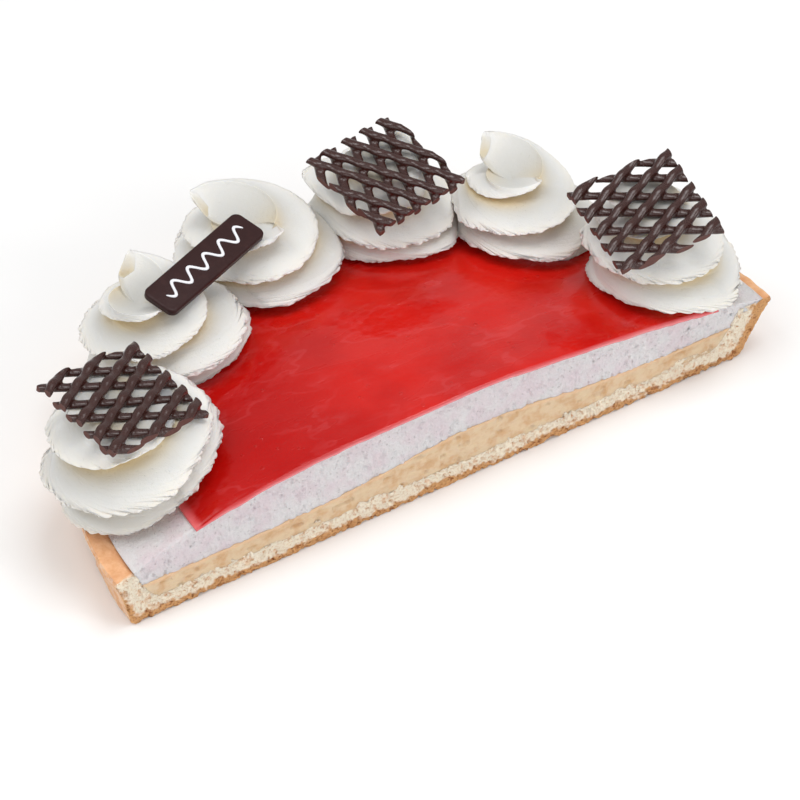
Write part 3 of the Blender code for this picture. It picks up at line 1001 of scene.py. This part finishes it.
@dataclass
class Mousse:
    """The mousse: a dome over the custard that laps over the rim at the right end."""

    stations: int = 660
    rim_share: float = 0.62
    drag_height: float = 0.4
    pore_depth: float = 0.55
    top_bumps: Bumps = Bumps(((5, 0.22), (1.6, 0.08)))
    finish: MousseFinish = MousseFinish()

    def side(self, angle: Array, rise: Array) -> tuple[Array, Array]:
        """The side: down the wall's inner face, then out over the rim to a soft edge.

        Args:
            angle: ways round the tart, in radians.
            rise: shares of the way up the side.

        Returns:
            The radius and the height at each.
        """
        low = FORM.custard
        rim = FORM.rim_height(angle)
        climb = np.clip(rise / self.rim_share, 0, 1)
        over = np.clip((rise - self.rim_share) / (1 - self.rim_share), 0, 1)
        height = low + (rim - low) * climb + (FORM.mousse_edge_height - rim) * over
        inner = FORM.wall_radius(angle, low + (rim - low) * climb) + 0.1 * MM
        return inner + (FORM.mousse_edge(angle) - inner) * np.sqrt(over), height

    def build(self) -> bpy.types.Object:
        """Builds and dresses the mousse.

        Returns:
            The finished piece.
        """

        def under(x: Array, y: Array) -> Array:
            """Against the custard's skin."""
            return FORM.custard_height(x, y) - 0.15 * MM

        layer = Layer("mousse", self.stations, 42, 52, 5, 1.7, self.side, FORM.mousse_height, under)
        points, masks = layer.rings()
        x, y, z = (points[..., axis] for axis in range(3))
        cut = near_cut(points, 1.5 * MM)
        drag = GRAIN.at(3.0 * MM, x, y, 0.5 * z) + 0.6 * GRAIN.at(1.1 * MM, x, y, 0.6 * z)
        pore = ease((GRAIN.at(1.5 * MM, x + 5 * MM, y, 0.7 * z) - 0.4) / 0.3)
        points[..., 1] -= cut * (self.drag_height * drag - self.pore_depth * pore) * MM
        top = (1 - masks["face"]) * (1 - masks["side"]) * (masks["rise"] > 0)
        points[..., 2] += top * self.top_bumps.at(x, y) * MM
        return skinned("mousse_dome", points, self.finish.material(), Slot.MOUSSE, "mousse")


@dataclass
class Glaze:
    """The strawberry glaze: a skin of jelly that thins out towards its edge."""

    rosettes: tuple["Rosette", ...]
    stations: int = 560
    drips: Bumps = Bumps(((9, 1.0), (3, 0.3)))
    overhang: float = 0.6
    belly: float = 0.45
    rounding: float = 0.35 * MM
    edge_reach: float = 3.5 * MM
    shadow_reach: float = 6 * MM
    finish: GlazeFinish = GlazeFinish()

    def side(self, angle: Array, rise: Array) -> tuple[Array, Array]:
        """The low outer edge.

        Args:
            angle: ways round the tart, in radians.
            rise: shares of the way up the side.

        Returns:
            The radius and the height at each.
        """
        radius = FORM.glaze_radius(angle) + 0.25 * MM * np.sin(HALF_TURN * rise)
        x = radius * np.cos(angle)
        y = radius * np.sin(angle)
        low = FORM.mousse_height(x, y) - 0.1 * MM
        return radius, low + (FORM.glaze_top(x, y) - low) * rise

    def build(self) -> bpy.types.Object:
        """Builds and dresses the glaze.

        Returns:
            The finished piece.
        """

        def under(x: Array, y: Array) -> Array:
            """Sunk a little into the mousse."""
            return FORM.mousse_height(x, y) - 0.1 * MM

        layer = Layer("glaze", self.stations, 8, 104, 8, 1.0, self.side, FORM.glaze_top, under)
        points, masks = layer.rings()
        x, y = (points[..., axis] for axis in range(2))
        cut = near_cut(points, 2 * MM)
        face = masks["face"]
        rise = masks["rise"]
        belly = np.sin(HALF_TURN * np.clip(rise, 0, 1)) * face
        drip = np.maximum(self.drips.at(x), -0.2)
        proud = self.overhang + self.belly * belly + 0.25 * drip * belly
        points[..., 1] -= proud * MM * np.maximum(face, cut * 0.5)
        sag = face * (1 - rise) * (0.4 + 0.7 * drip) * MM
        points[..., 2] -= sag
        points[..., 2] -= near_cut(points, 1.1 * MM) * self.rounding * (rise >= 1)

        radius, angle = FORM.polar(x, y)
        edge = 1 - ease((FORM.glaze_radius(angle) - radius) / self.edge_reach)
        thin = np.clip(np.maximum(face * (1.15 - 1.15 * rise), edge * 0.7), 0, 1)
        shadow = np.zeros_like(x)
        for spot in self.rosettes:
            gap = np.hypot(x - spot.x, y - spot.y) - spot.radius * 0.9
            shadow = np.maximum(shadow, np.exp(-np.maximum(gap, 0) / self.shadow_reach))
        left = 0.75 * ease((-x - 10 * MM + 14 * MM * GRAIN.at(24 * MM, x, y)) / (60 * MM))
        shadow = shadow * (0.2 + 0.35 * ease(0.6 - x / (90 * MM)))
        marks = {"thin": thin, "shadow": np.maximum(shadow, left) * (1 - thin)}
        return skinned("glaze_skin", points, self.finish.material(), Slot.GLAZE, "glaze", marks=marks)


@dataclass(frozen=True)
class Rest:
    """The place of a flat chocolate piece: its middle, the way its length runs and its upper side."""

    middle_mm: tuple[float, float, float]
    along: tuple[float, float, float]
    up: tuple[float, float, float]

    @property
    def middle(self) -> Vector:
        """The middle, from the tart's centre."""
        return Vector(self.middle_mm) * MM

    @property
    def axes(self) -> tuple[Vector, Vector, Vector]:
        """Unit vectors along, across and up.

        Returns:
            The three vectors.
        """
        normal = Vector(self.up).normalized()
        length = Vector(self.along)
        length = (length - normal * length.dot(normal)).normalized()
        return length, normal.cross(length), normal

    def matrix(self) -> Matrix:
        """From the piece's own coordinates to the frame's."""
        turn = Matrix(self.axes).transposed().to_4x4()
        return Matrix.Translation(TART_CENTRE + self.middle) @ turn

    def local(self, points: Array) -> Array:
        """Places from the tart's centre, in the piece's own coordinates."""
        return (points - np.array(self.middle)) @ np.array(self.axes).T

    def back(self, local: Array) -> Array:
        """The opposite of local."""
        return local @ np.array(self.axes) + np.array(self.middle)


LATTICE_RESTS = {
    1: Rest((-112.3, 39.4, 63.9), (40.7, 7.2, -5.8), (0.15, -0.08, 0.98)),
    4: Rest((27.3, 92.4, 68.2), (-7.4, 41.2, 6.5), (0.02, -0.18, 0.98)),
    6: Rest((94.4, 21.5, 69.0), (41.3, -5.1, 5.5), (-0.15, -0.18, 0.97)),
}
PLAQUE_REST = Rest((-54.0, 84.5, 66.5), (50.5, 20.5, 1.0), (0.069, -0.218, 0.973))
PLAQUE_BEARERS = (2, 3)
PLAQUE_SIZE = (54.5 * MM, 14.5 * MM, 3 * MM)
LATTICE_SIDE = 42 * MM
ROD_SPACING = 7.9 * MM
ROD_COUNT = 7
LAYER_RISE = 1.1 * MM
ROD_SLANT = math.radians(28)
LATTICE_UNDERSIDE = 2.6 * MM


@dataclass(frozen=True)
class FinOutline:
    """One fin of a rosette: a face that flares out from its crease to a lip, with a smooth band below."""

    face_columns: int = 34
    face_share: float = 0.85
    crease_reach: float = 0.77
    flare: float = 2.6
    lip: tuple[tuple[float, float], ...] = ((0.85, 0.985), (0.862, 1.0), (0.874, 0.99), (0.886, 0.965))
    band_columns: int = 6
    band_reach: float = 0.94

    def columns(self) -> dict[str, Array]:
        """Works out the fin's columns of points, from its crease over the lip to the next crease.

        Returns:
            The share of the fin, reach, droop, weight of the lip, painted crease shade and painted rim light
            at each column.
        """
        climb = np.arange(self.face_columns) / self.face_columns
        lip = np.array(self.lip)
        fall = (np.arange(self.band_columns) + 0.5) / self.band_columns
        last = lip[-1, 0]
        share = np.concatenate([climb * self.face_share, lip[:, 0], last + (1 - last) * fall])
        face = self.crease_reach + (lip[0, 1] - self.crease_reach) * (0.3 * climb + 0.7 * climb**self.flare)
        band = self.crease_reach + (self.band_reach - self.crease_reach) * (1 - fall) ** 1.3
        reach = np.concatenate([face, lip[:, 1], band])
        droop = np.concatenate([climb**3, np.ones(len(lip)), 1 - fall])
        weight = np.concatenate([climb**20, np.ones(len(lip)), 0.5 * (1 - fall) ** 6])
        # deep: how strongly the colour takes the warm painted shade of the crease.
        deep = np.exp(-np.minimum((share / 0.3) ** 2, (1 - share) / 0.08))
        # rim: painted light, rising from the crease to the lip.
        rim = np.concatenate([climb**1.6, np.ones(len(lip)), 0.6 * (1 - fall)])
        return {"share": share, "reach": reach, "droop": droop, "lip": weight, "crease": deep, "rim": rim}


@dataclass(frozen=True)
class Rosette:
    """One piped rosette: fins that climb round it like the thread of a screw and fold in at its top."""

    number: int
    angle: float
    distance: float
    radius_mm: float
    top_mm: float
    start_deg: float
    lean_x: float = 0.0
    lean_y: float = 0.0
    tilt_mm: float = 0.0
    curl_mm: float = 7.0
    fullness: float = 1.7
    fins: int = 2
    rows: int = 640
    outside: float = 0.95
    twist: float = math.radians(560)
    belly: float = 0.3
    foot_share: float = 0.80
    top_share: float = 0.42
    deepening: float = 0.4
    fold_mm: float = 4.5
    crown: float = 3.5 * MM
    fin_droop: float = 2.0 * MM
    tilt_way: float = math.radians(-33)
    warp: float = 0.25
    path: float = 270 * MM
    path_between: float = 310 * MM
    swelling: float = 2.2
    streaking: float = 0.22
    teeth: float = 0.95
    closing: float = 0.93
    outline: FinOutline = FinOutline()

    @property
    def x(self) -> float:
        """The middle, along the cut."""
        return self.distance * MM * math.cos(math.radians(self.angle))

    @property
    def y(self) -> float:
        """The middle, back from the cut."""
        return self.distance * MM * math.sin(math.radians(self.angle))

    @property
    def radius(self) -> float:
        """The widest reach."""
        return self.radius_mm * MM

    def width(self, level: Array) -> Array:
        """The radius at a level, as a share of the widest.

        Args:
            level: shares of the way up the rosette.

        Returns:
            The share at each level.
        """
        low = self.foot_share + (1 - self.foot_share) * np.sin(HALF_TURN / 2 * level / self.belly)
        rise = np.clip((level - self.belly) / (1 - self.belly), 0, 1)
        dome = (1 - rise**self.fullness) ** 0.75
        high = (dome**6 + self.top_share**6) ** (1 / 6)
        return np.where(level < self.belly, low, high)

    def skin(self) -> tuple[Array, dict[str, Array]]:
        """The rosette's skin before anything presses on it.

        Returns:
            The places from the tart's centre, and the shade of the crease and of the rim at each.
        """
        column = self.outline.columns()
        fin = np.repeat(np.arange(self.fins), len(column["share"]))[None, :]
        share, reach, droop, lip, crease, rim = (np.tile(column[key], self.fins)[None, :] for key in column)
        climb = np.linspace(0.0, 1.0, self.rows)[:, None]
        level = np.minimum(climb / self.outside, 1.0)
        fold = np.maximum(climb - self.outside, 0.0) / (1 - self.outside)
        start = math.radians(self.start_deg)

        angle = start + FULL_TURN * (fin + share) / self.fins
        angle = angle + self.warp * np.sin(FULL_TURN * (fin + share) / self.fins + 3 * start + 4 * level)
        angle = angle + self.twist * level + 0.5 * fold
        ramp = (fin + share) / self.fins - 0.5
        uneven = 1 + 0.05 * np.sin(2.1 * fin + 5 * start) + 0.03 * np.sin(2 * angle + start)
        uneven = uneven + 0.3 * ramp * level**3
        path = level * self.path + fin * self.path_between + self.number * 73 * MM
        depth = (1 - reach) * (1 + self.deepening * level**3)
        depth = depth * (1 + 0.3 * GRAIN.at(45 * MM, path, share * 9 * MM))
        radius = self.radius * self.width(level) * (1 - depth) * uneven
        swell = GRAIN.at(19 * MM, path, share * 24 * MM) * (0.4 + 0.6 * lip)
        streak = GRAIN.at(2.6 * MM, path, share * 3 * MM, 60 * MM) * (0.4 + 0.6 * lip)
        tooth = GRAIN.at(1.3 * MM, path, share * 6 * MM)
        tooth = tooth + 0.8 * GRAIN.at(0.75 * MM, path, share * 4 * MM, 3 * MM)
        ragged = 0.45 + 0.55 * ease(1.6 - 1.8 * level)
        rough = self.swelling * swell + self.streaking * streak + self.teeth * ragged * lip * tooth
        radius = radius + self.width(level) * rough * MM
        radius = radius * (1 - self.closing * fold**1.4)

        x = self.x + radius * np.cos(angle) + self.lean_x * MM * level**3
        y = self.y + radius * np.sin(angle) + self.lean_y * MM * level**3
        foot = FORM.resting_height(x, y) - 0.2 * MM
        arch = np.sin(HALF_TURN * level)
        sink = self.fin_droop * droop * arch * (1 - 0.5 * level)
        tilt = self.tilt_mm * MM * np.cos(angle - self.tilt_way) * self.width(level) * arch**2
        curl = self.curl_mm * MM * ramp * level**3
        curl = curl + self.crown * (1 - (1 - reach) / (1 - self.outline.crease_reach)) * level**5
        wave = 1.1 * GRAIN.at(13 * MM, path, share * 9 * MM, 40 * MM) * lip
        height = (self.top_mm * MM - foot) * level - sink - tilt + curl * (1 - fold)
        height = height + (wave - 0.4 * ragged * lip * tooth) * arch * MM - self.fold_mm * MM * fold
        z = foot + soft_floor(height, 0.7 * MM)
        points = np.stack(np.broadcast_arrays(x, y, z), axis=-1)
        # Painted shade in the creases and painted light towards the lips, both fading where the top folds in.
        shades = {"crease": crease * (1 - fold) * (1 - 0.6 * level**3), "rim": rim * (1 - fold)}
        return points, {name: np.broadcast_to(value, points.shape[:2]) for name, value in shades.items()}

    def press_sides(self, points: Array, others: tuple["Rosette", ...]) -> None:
        """Flattens the skin where the rosettes beside it press against it.

        Args:
            points: places on the skin, which are moved.
            others: all rosettes.
        """
        for other in others:
            if abs(other.number - self.number) != 1:
                continue
            way = np.array([other.x - self.x, other.y - self.y])
            apart = float(np.hypot(*way))
            way = way / apart
            middle = apart * self.radius / (self.radius + other.radius)
            past = (points[..., 0] - self.x) * way[0] + (points[..., 1] - self.y) * way[1] - middle + 1.5 * MM
            back = np.maximum(past, 0.0) * 0.55
            points[..., 0] -= back * way[0]
            points[..., 1] -= back * way[1]

    @staticmethod
    def squeezed(height: Array, limit: float, room: float) -> Array:
        """Heights that slow down within some room below a limit and never pass it."""
        past = np.maximum(height - limit + room, 0.0)
        return np.minimum(height, limit - room) + room * (1 - np.exp(-past / room))

    def press_top(self, points: Array) -> Array:
        """Flattens the skin under the chocolate that lies on it and gives the places anew.

        Args:
            points: places on the skin.

        Returns:
            The same places after the chocolate has settled.
        """
        if self.number in LATTICE_RESTS:
            rest = LATTICE_RESTS[self.number]
            local = rest.local(points)
            blob = 0.7 * MM * GRAIN.at(6 * MM, local[..., 0], local[..., 1])
            limit = 0.9 * MM - LATTICE_UNDERSIDE
            local[..., 2] = self.squeezed(local[..., 2] - blob, limit, 3 * MM) + blob
            return rest.back(local)
        if self.number in PLAQUE_BEARERS:
            local = PLAQUE_REST.local(points)
            inside = ease((PLAQUE_SIZE[0] / 2 - np.abs(local[..., 0])) / (2 * MM) + 1)
            inside = inside * ease((PLAQUE_SIZE[1] / 2 - local[..., 1]) / (2 * MM) + 0.7)
            low = self.squeezed(local[..., 2], 0.2 * MM - PLAQUE_SIZE[2] / 2, 1.5 * MM)
            local[..., 2] += (low - local[..., 2]) * inside
            return PLAQUE_REST.back(local)
        return points

    def build(self, others: tuple["Rosette", ...], material: bpy.types.Material) -> bpy.types.Object:
        """Builds and dresses the rosette.

        Args:
            others: all rosettes, of which the neighbours press against this one.
            material: the cream.

        Returns:
            The finished piece.
        """
        points, shades = self.skin()
        self.press_sides(points, others)
        points = self.press_top(points)
        ends = [np.broadcast_to(ring.mean(axis=0), points[:1].shape) for ring in (points[0], points[-1])]
        points = np.concatenate([ends[0], points, ends[1]])
        shades = {name: np.concatenate([value[:1], value, value[-1:]]) for name, value in shades.items()}
        name = f"rosette_{self.number}"
        return skinned(name, points, material, Slot.CREAM, f"cream_{self.number}", marks=shades)


CLOSED_FLAT = {"curl_mm": 0, "fold_mm": 0}
ROSETTES = (
    Rosette(1, 161.1, 117.8, 31.4, 67, 10, fullness=2.4, top_share=0.6, **CLOSED_FLAT),
    Rosette(2, 128.4, 111.0, 32.9, 63, 265, lean_x=-12, top_share=0.5, curl_mm=4.5),
    Rosette(3, 99.7, 109.4, 33.9, 62.5, 300, lean_x=-8, lean_y=-3, fullness=2, top_share=0.58, curl_mm=3),
    Rosette(4, 72.1, 108.5, 32.0, 66, 200, lean_x=-3, tilt_mm=5, fullness=2.1, top_share=0.5, **CLOSED_FLAT),
    Rosette(5, 43.7, 109.9, 32.0, 59, 280, lean_x=-5, lean_y=3, tilt_mm=3, top_share=0.5, curl_mm=4.5),
    Rosette(6, 13.5, 108.6, 31.6, 68, 320, lean_x=-4, tilt_mm=5, fullness=2.1, top_share=0.5, **CLOSED_FLAT),
)


@dataclass(frozen=True)
class Lattice:
    """A chocolate lattice: two layers of poured rods, melted together and cut to a square."""

    number: int
    bearer: int
    wave: float = 0.15 * MM
    width: float = 3.8 * MM
    height: float = 2.7 * MM
    sag: float = 0.35 * MM
    voxel: float = 0.42 * MM
    smoothings: int = 12
    around: int = 14
    steps: int = 110

    def rod(self, index: int, layer: int) -> Array:
        """Rings of points along one rod.

        Args:
            index: which rod of its layer.
            layer: 1 for the upper layer and -1 for the lower one.

        Returns:
            Places of shape (rings, points round each ring, 3), in the lattice's own coordinates.
        """
        offset = ROD_SPACING * (index - (ROD_COUNT - 1) / 2)
        offset += 0.35 * MM * math.sin(3.7 * index + self.number + layer)
        slant = layer * ROD_SLANT + math.radians(1.2) * math.sin(2.3 * index + self.number)
        along = np.linspace(-0.9, 0.9, self.steps)[:, None] * LATTICE_SIDE
        turn = np.arange(self.around)[None, :] * FULL_TURN / self.around
        lane = index * 23 * MM + layer * 61 * MM + self.number * 97 * MM
        crossing = along * math.sin(2 * ROD_SLANT) + offset * math.cos(2 * ROD_SLANT)
        beat = np.cos(FULL_TURN * crossing / ROD_SPACING)
        thick = 1 + 0.07 * GRAIN.at(7 * MM, along, lane) + 0.03 * GRAIN.at(2 * MM, along, lane) + 0.05 * beat
        stray = 0.3 * MM * GRAIN.at(16 * MM, along, lane, 9 * MM) + self.wave * beat * max(layer, 0)
        across = offset + stray + self.width / 2 * thick * np.cos(turn)
        rise = layer * LAYER_RISE + (self.sag * beat if layer > 0 else 0 * beat)
        up = rise + self.height / 2 * thick * np.sin(turn)
        x = along * math.cos(slant) - across * math.sin(slant)
        y = along * math.sin(slant) + across * math.cos(slant)
        return np.stack(np.broadcast_arrays(x, y, up), axis=-1)

    def melted(self) -> bmesh.types.BMesh:
        """All rods as one skin, with the chocolate run together where they cross.

        Returns:
            The skin, before it is cut square.
        """
        bm = bmesh.new()
        for layer in (-1, 1):
            for index in range(ROD_COUNT):
                rod = rolled_sheet("rod", self.rod(index, layer))
                bm.from_mesh(rod.data)
                bpy.data.objects.remove(rod)
        rods = from_bmesh("rods", bm)
        fuse = rods.modifiers.new("fuse", "REMESH")
        fuse.mode = "VOXEL"
        fuse.voxel_size = self.voxel
        bpy.context.view_layer.update()
        shaped = rods.evaluated_get(bpy.context.evaluated_depsgraph_get())
        bm = bmesh.new()
        bm.from_mesh(shaped.to_mesh())
        shaped.to_mesh_clear()
        bpy.data.objects.remove(rods)
        axes = {"use_axis_x": True, "use_axis_y": True, "use_axis_z": True}
        for _ in range(self.smoothings):
            bmesh.ops.smooth_vert(bm, verts=bm.verts, factor=0.5, **axes)
        return bm

    def build(self, materials: tuple[bpy.types.Material, bpy.types.Material]) -> bpy.types.Object:
        """Builds and dresses the lattice, with matt faces where the knife went through.

        Args:
            materials: the poured chocolate and its broken faces.

        Returns:
            The finished piece.
        """
        bm = self.melted()
        for face in bm.faces:
            face.smooth = True
        for normal in ((1, 0, 0), (-1, 0, 0), (0, 1, 0), (0, -1, 0)):
            way = Vector(normal)
            geometry = [*bm.verts, *bm.edges, *bm.faces]
            found = bmesh.ops.bisect_plane(
                bm, geom=geometry, dist=WELD, plane_co=way * LATTICE_SIDE / 2, plane_no=way, clear_outer=True
            )
            rim = [item for item in found["geom_cut"] if isinstance(item, bmesh.types.BMEdge)]
            for face in bmesh.ops.holes_fill(bm, edges=rim, sides=0)["faces"]:
                face.material_index = 1
                face.smooth = False
        bmesh.ops.recalc_face_normals(bm, faces=bm.faces)
        bmesh.ops.transform(bm, matrix=LATTICE_RESTS[self.bearer].matrix(), verts=bm.verts)
        piece = from_bmesh(f"chocolate_lattice_{self.number}", bm, *materials)
        return settle(piece, Slot.CHOCOLATE, f"lattice_{self.number}")


@dataclass(frozen=True)
class Plaque:
    """The chocolate bar across two rosettes, with a plain wave of white icing along it."""

    corner: float = 3 * MM
    edge: float = 0.8 * MM
    wave_length: float = 9 * MM
    wave_height: float = 2.6 * MM
    waves: int = 5
    line: float = 0.55 * MM
    sharp_angle: float = math.radians(40)

    def build(self, chocolate: bpy.types.Material, icing: bpy.types.Material) -> list[bpy.types.Object]:
        """Builds and dresses the bar and its ornament.

        Args:
            chocolate: the bar's finish.
            icing: the ornament's finish.

        Returns:
            The two finished pieces.
        """
        bm = bmesh.new()
        bmesh.ops.create_cube(bm, size=1.0)
        bmesh.ops.scale(bm, verts=bm.verts, vec=PLAQUE_SIZE)
        soften = {"affect": "EDGES", "profile": 0.5, "material": -1, "clamp_overlap": True}
        upright = [edge for edge in bm.edges if abs(edge.verts[0].co.z - edge.verts[1].co.z) > 1 * MM]
        bmesh.ops.bevel(bm, geom=upright, offset=self.corner, segments=10, **soften)
        rims = [edge for edge in bm.edges if abs(edge.verts[0].co.z - edge.verts[1].co.z) < WELD]
        bmesh.ops.bevel(bm, geom=rims, offset=self.edge, segments=5, **soften)
        bmesh.ops.recalc_face_normals(bm, faces=bm.faces)
        bmesh.ops.transform(bm, matrix=PLAQUE_REST.matrix(), verts=bm.verts)
        bar = from_bmesh("chocolate_plaque", bm, chocolate)
        bar.data.shade_smooth()
        bar.data.set_sharp_from_angle(angle=self.sharp_angle)
        settle(bar, Slot.CHOCOLATE, "plaque")
        return [bar, self.ornament(icing)]

    def ornament(self, icing: bpy.types.Material) -> bpy.types.Object:
        """A wavy line of icing, thicker where it turns.

        Args:
            icing: its finish.

        Returns:
            The finished piece.
        """
        length = self.waves * self.wave_length
        along = np.linspace(-length / 2, length / 2, 400)[:, None]
        phase = FULL_TURN * along / self.wave_length
        across = self.wave_height * np.sin(phase)
        slope = np.arctan2(self.wave_height * FULL_TURN / self.wave_length * np.cos(phase), 1.0)
        round_about = np.arange(12)[None, :] * FULL_TURN / 12
        end = np.sqrt(np.clip(1 - (np.abs(along) / (length / 2)) ** 30, 0, 1))
        thick = self.line * (1 + 0.15 * np.sin(phase) ** 2) * end
        x = along - thick * np.cos(round_about) * np.sin(slope)
        y = across + thick * np.cos(round_about) * np.cos(slope)
        z = PLAQUE_SIZE[2] / 2 + 0.1 * MM + 0.6 * thick * np.sin(round_about)
        points = np.stack(np.broadcast_arrays(x, y, z), axis=-1)
        return skinned("icing_wave", PLAQUE_REST.back(points), icing, Slot.CREAM)


@dataclass(frozen=True)
class Viewpoint:
    """The camera: where it looks from, and how long its lens is."""

    azimuth: float = -32.65
    elevation: float = 41.94
    target_mm: tuple[float, float, float] = (-3.46, -26.10, 15.0)
    distance: float = 1156 * MM
    lens: float = 142.65

    def place(self) -> bpy.types.Object:
        """Puts the camera into the scene.

        Returns:
            The camera.
        """
        back = way_to(self.azimuth, self.elevation)
        data = bpy.data.cameras.new("camera")
        data.lens = self.lens
        data.sensor_width = 36.0
        data.clip_end = 20.0
        camera = bpy.data.objects.new("camera", data)
        bpy.context.scene.collection.objects.link(camera)
        camera.rotation_euler = back.to_track_quat("Z", "Y").to_euler()
        camera.location = Vector(self.target_mm) * MM + back * self.distance
        bpy.context.scene.camera = camera
        return camera


@dataclass(frozen=True)
class Softbox:
    """A square studio light that looks at the tart."""

    name: str
    azimuth: float
    elevation: float
    distance: float
    size: float
    power: float

    def place(self) -> bpy.types.Object:
        """Puts the light into the scene.

        Returns:
            The light.
        """
        way = way_to(self.azimuth, self.elevation)
        data = bpy.data.lights.new(self.name, "AREA")
        data.shape = "SQUARE"
        data.size = self.size
        data.energy = self.power
        light = bpy.data.objects.new(self.name, data)
        bpy.context.scene.collection.objects.link(light)
        light.rotation_euler = way.to_track_quat("Z", "Y").to_euler()
        light.location = way * self.distance
        return light


@dataclass(frozen=True)
class Studio:
    """A plain pale floor, soft light from all round and a few softboxes."""

    floor_size: float = 8.0
    floor_gap: float = 0.2 * MM
    floor_colour: Colour = (0.93, 0.93, 0.93, 1.0)
    floor_roughness: float = 0.9
    air: float = 0.5
    softboxes: tuple[Softbox, ...] = (
        Softbox("key", -105, 60, 2.8, 1.4, 21),
        Softbox("top", 60, 80, 1.8, 0.9, 11),
        Softbox("fill", -8, 30, 1.8, 1.0, 3.8),
        Softbox("glint", 30, 36, 1.7, 0.4, 3.4),
    )

    def build(self) -> None:
        """Sets up the studio."""
        scene = bpy.context.scene
        scene.view_settings.view_transform = "Standard"
        world = bpy.data.worlds.new("studio")
        world.use_nodes = True
        backdrop = world.node_tree.nodes["Background"].inputs
        backdrop["Color"].default_value = (1.0, 1.0, 1.0, 1.0)
        backdrop["Strength"].default_value = self.air
        scene.world = world
        for softbox in self.softboxes:
            softbox.place()
        bm = bmesh.new()
        bmesh.ops.create_grid(bm, x_segments=1, y_segments=1, size=self.floor_size / 2)
        bmesh.ops.translate(bm, verts=bm.verts, vec=(0, 0, -self.floor_gap))
        pale = {"Base Color": self.floor_colour, "Roughness": self.floor_roughness}
        from_bmesh("floor", bm, Bench("pale_floor").surface(pale))


def main() -> None:
    """Builds the studio and the tart, from the crust up."""
    logging.basicConfig(level=logging.INFO, format="%(name)s %(message)s")
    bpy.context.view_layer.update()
    Viewpoint().place()
    Studio().build()

    Crust().build()
    Custard().build()
    Mousse().build()
    Glaze(ROSETTES).build()

    cream = CreamFinish().material()
    for rosette in ROSETTES:
        rosette.build(ROSETTES, cream)

    moulded = MOULDED.material()
    broken = BROKEN.material()
    lattices = (Lattice(1, 1), Lattice(2, 4, wave=0.55 * MM), Lattice(3, 6))
    for lattice in lattices:
        lattice.build((moulded, broken))
    Plaque().build(BAR.material(), IcingFinish().material())


if __name__ == "__main__":
    main()
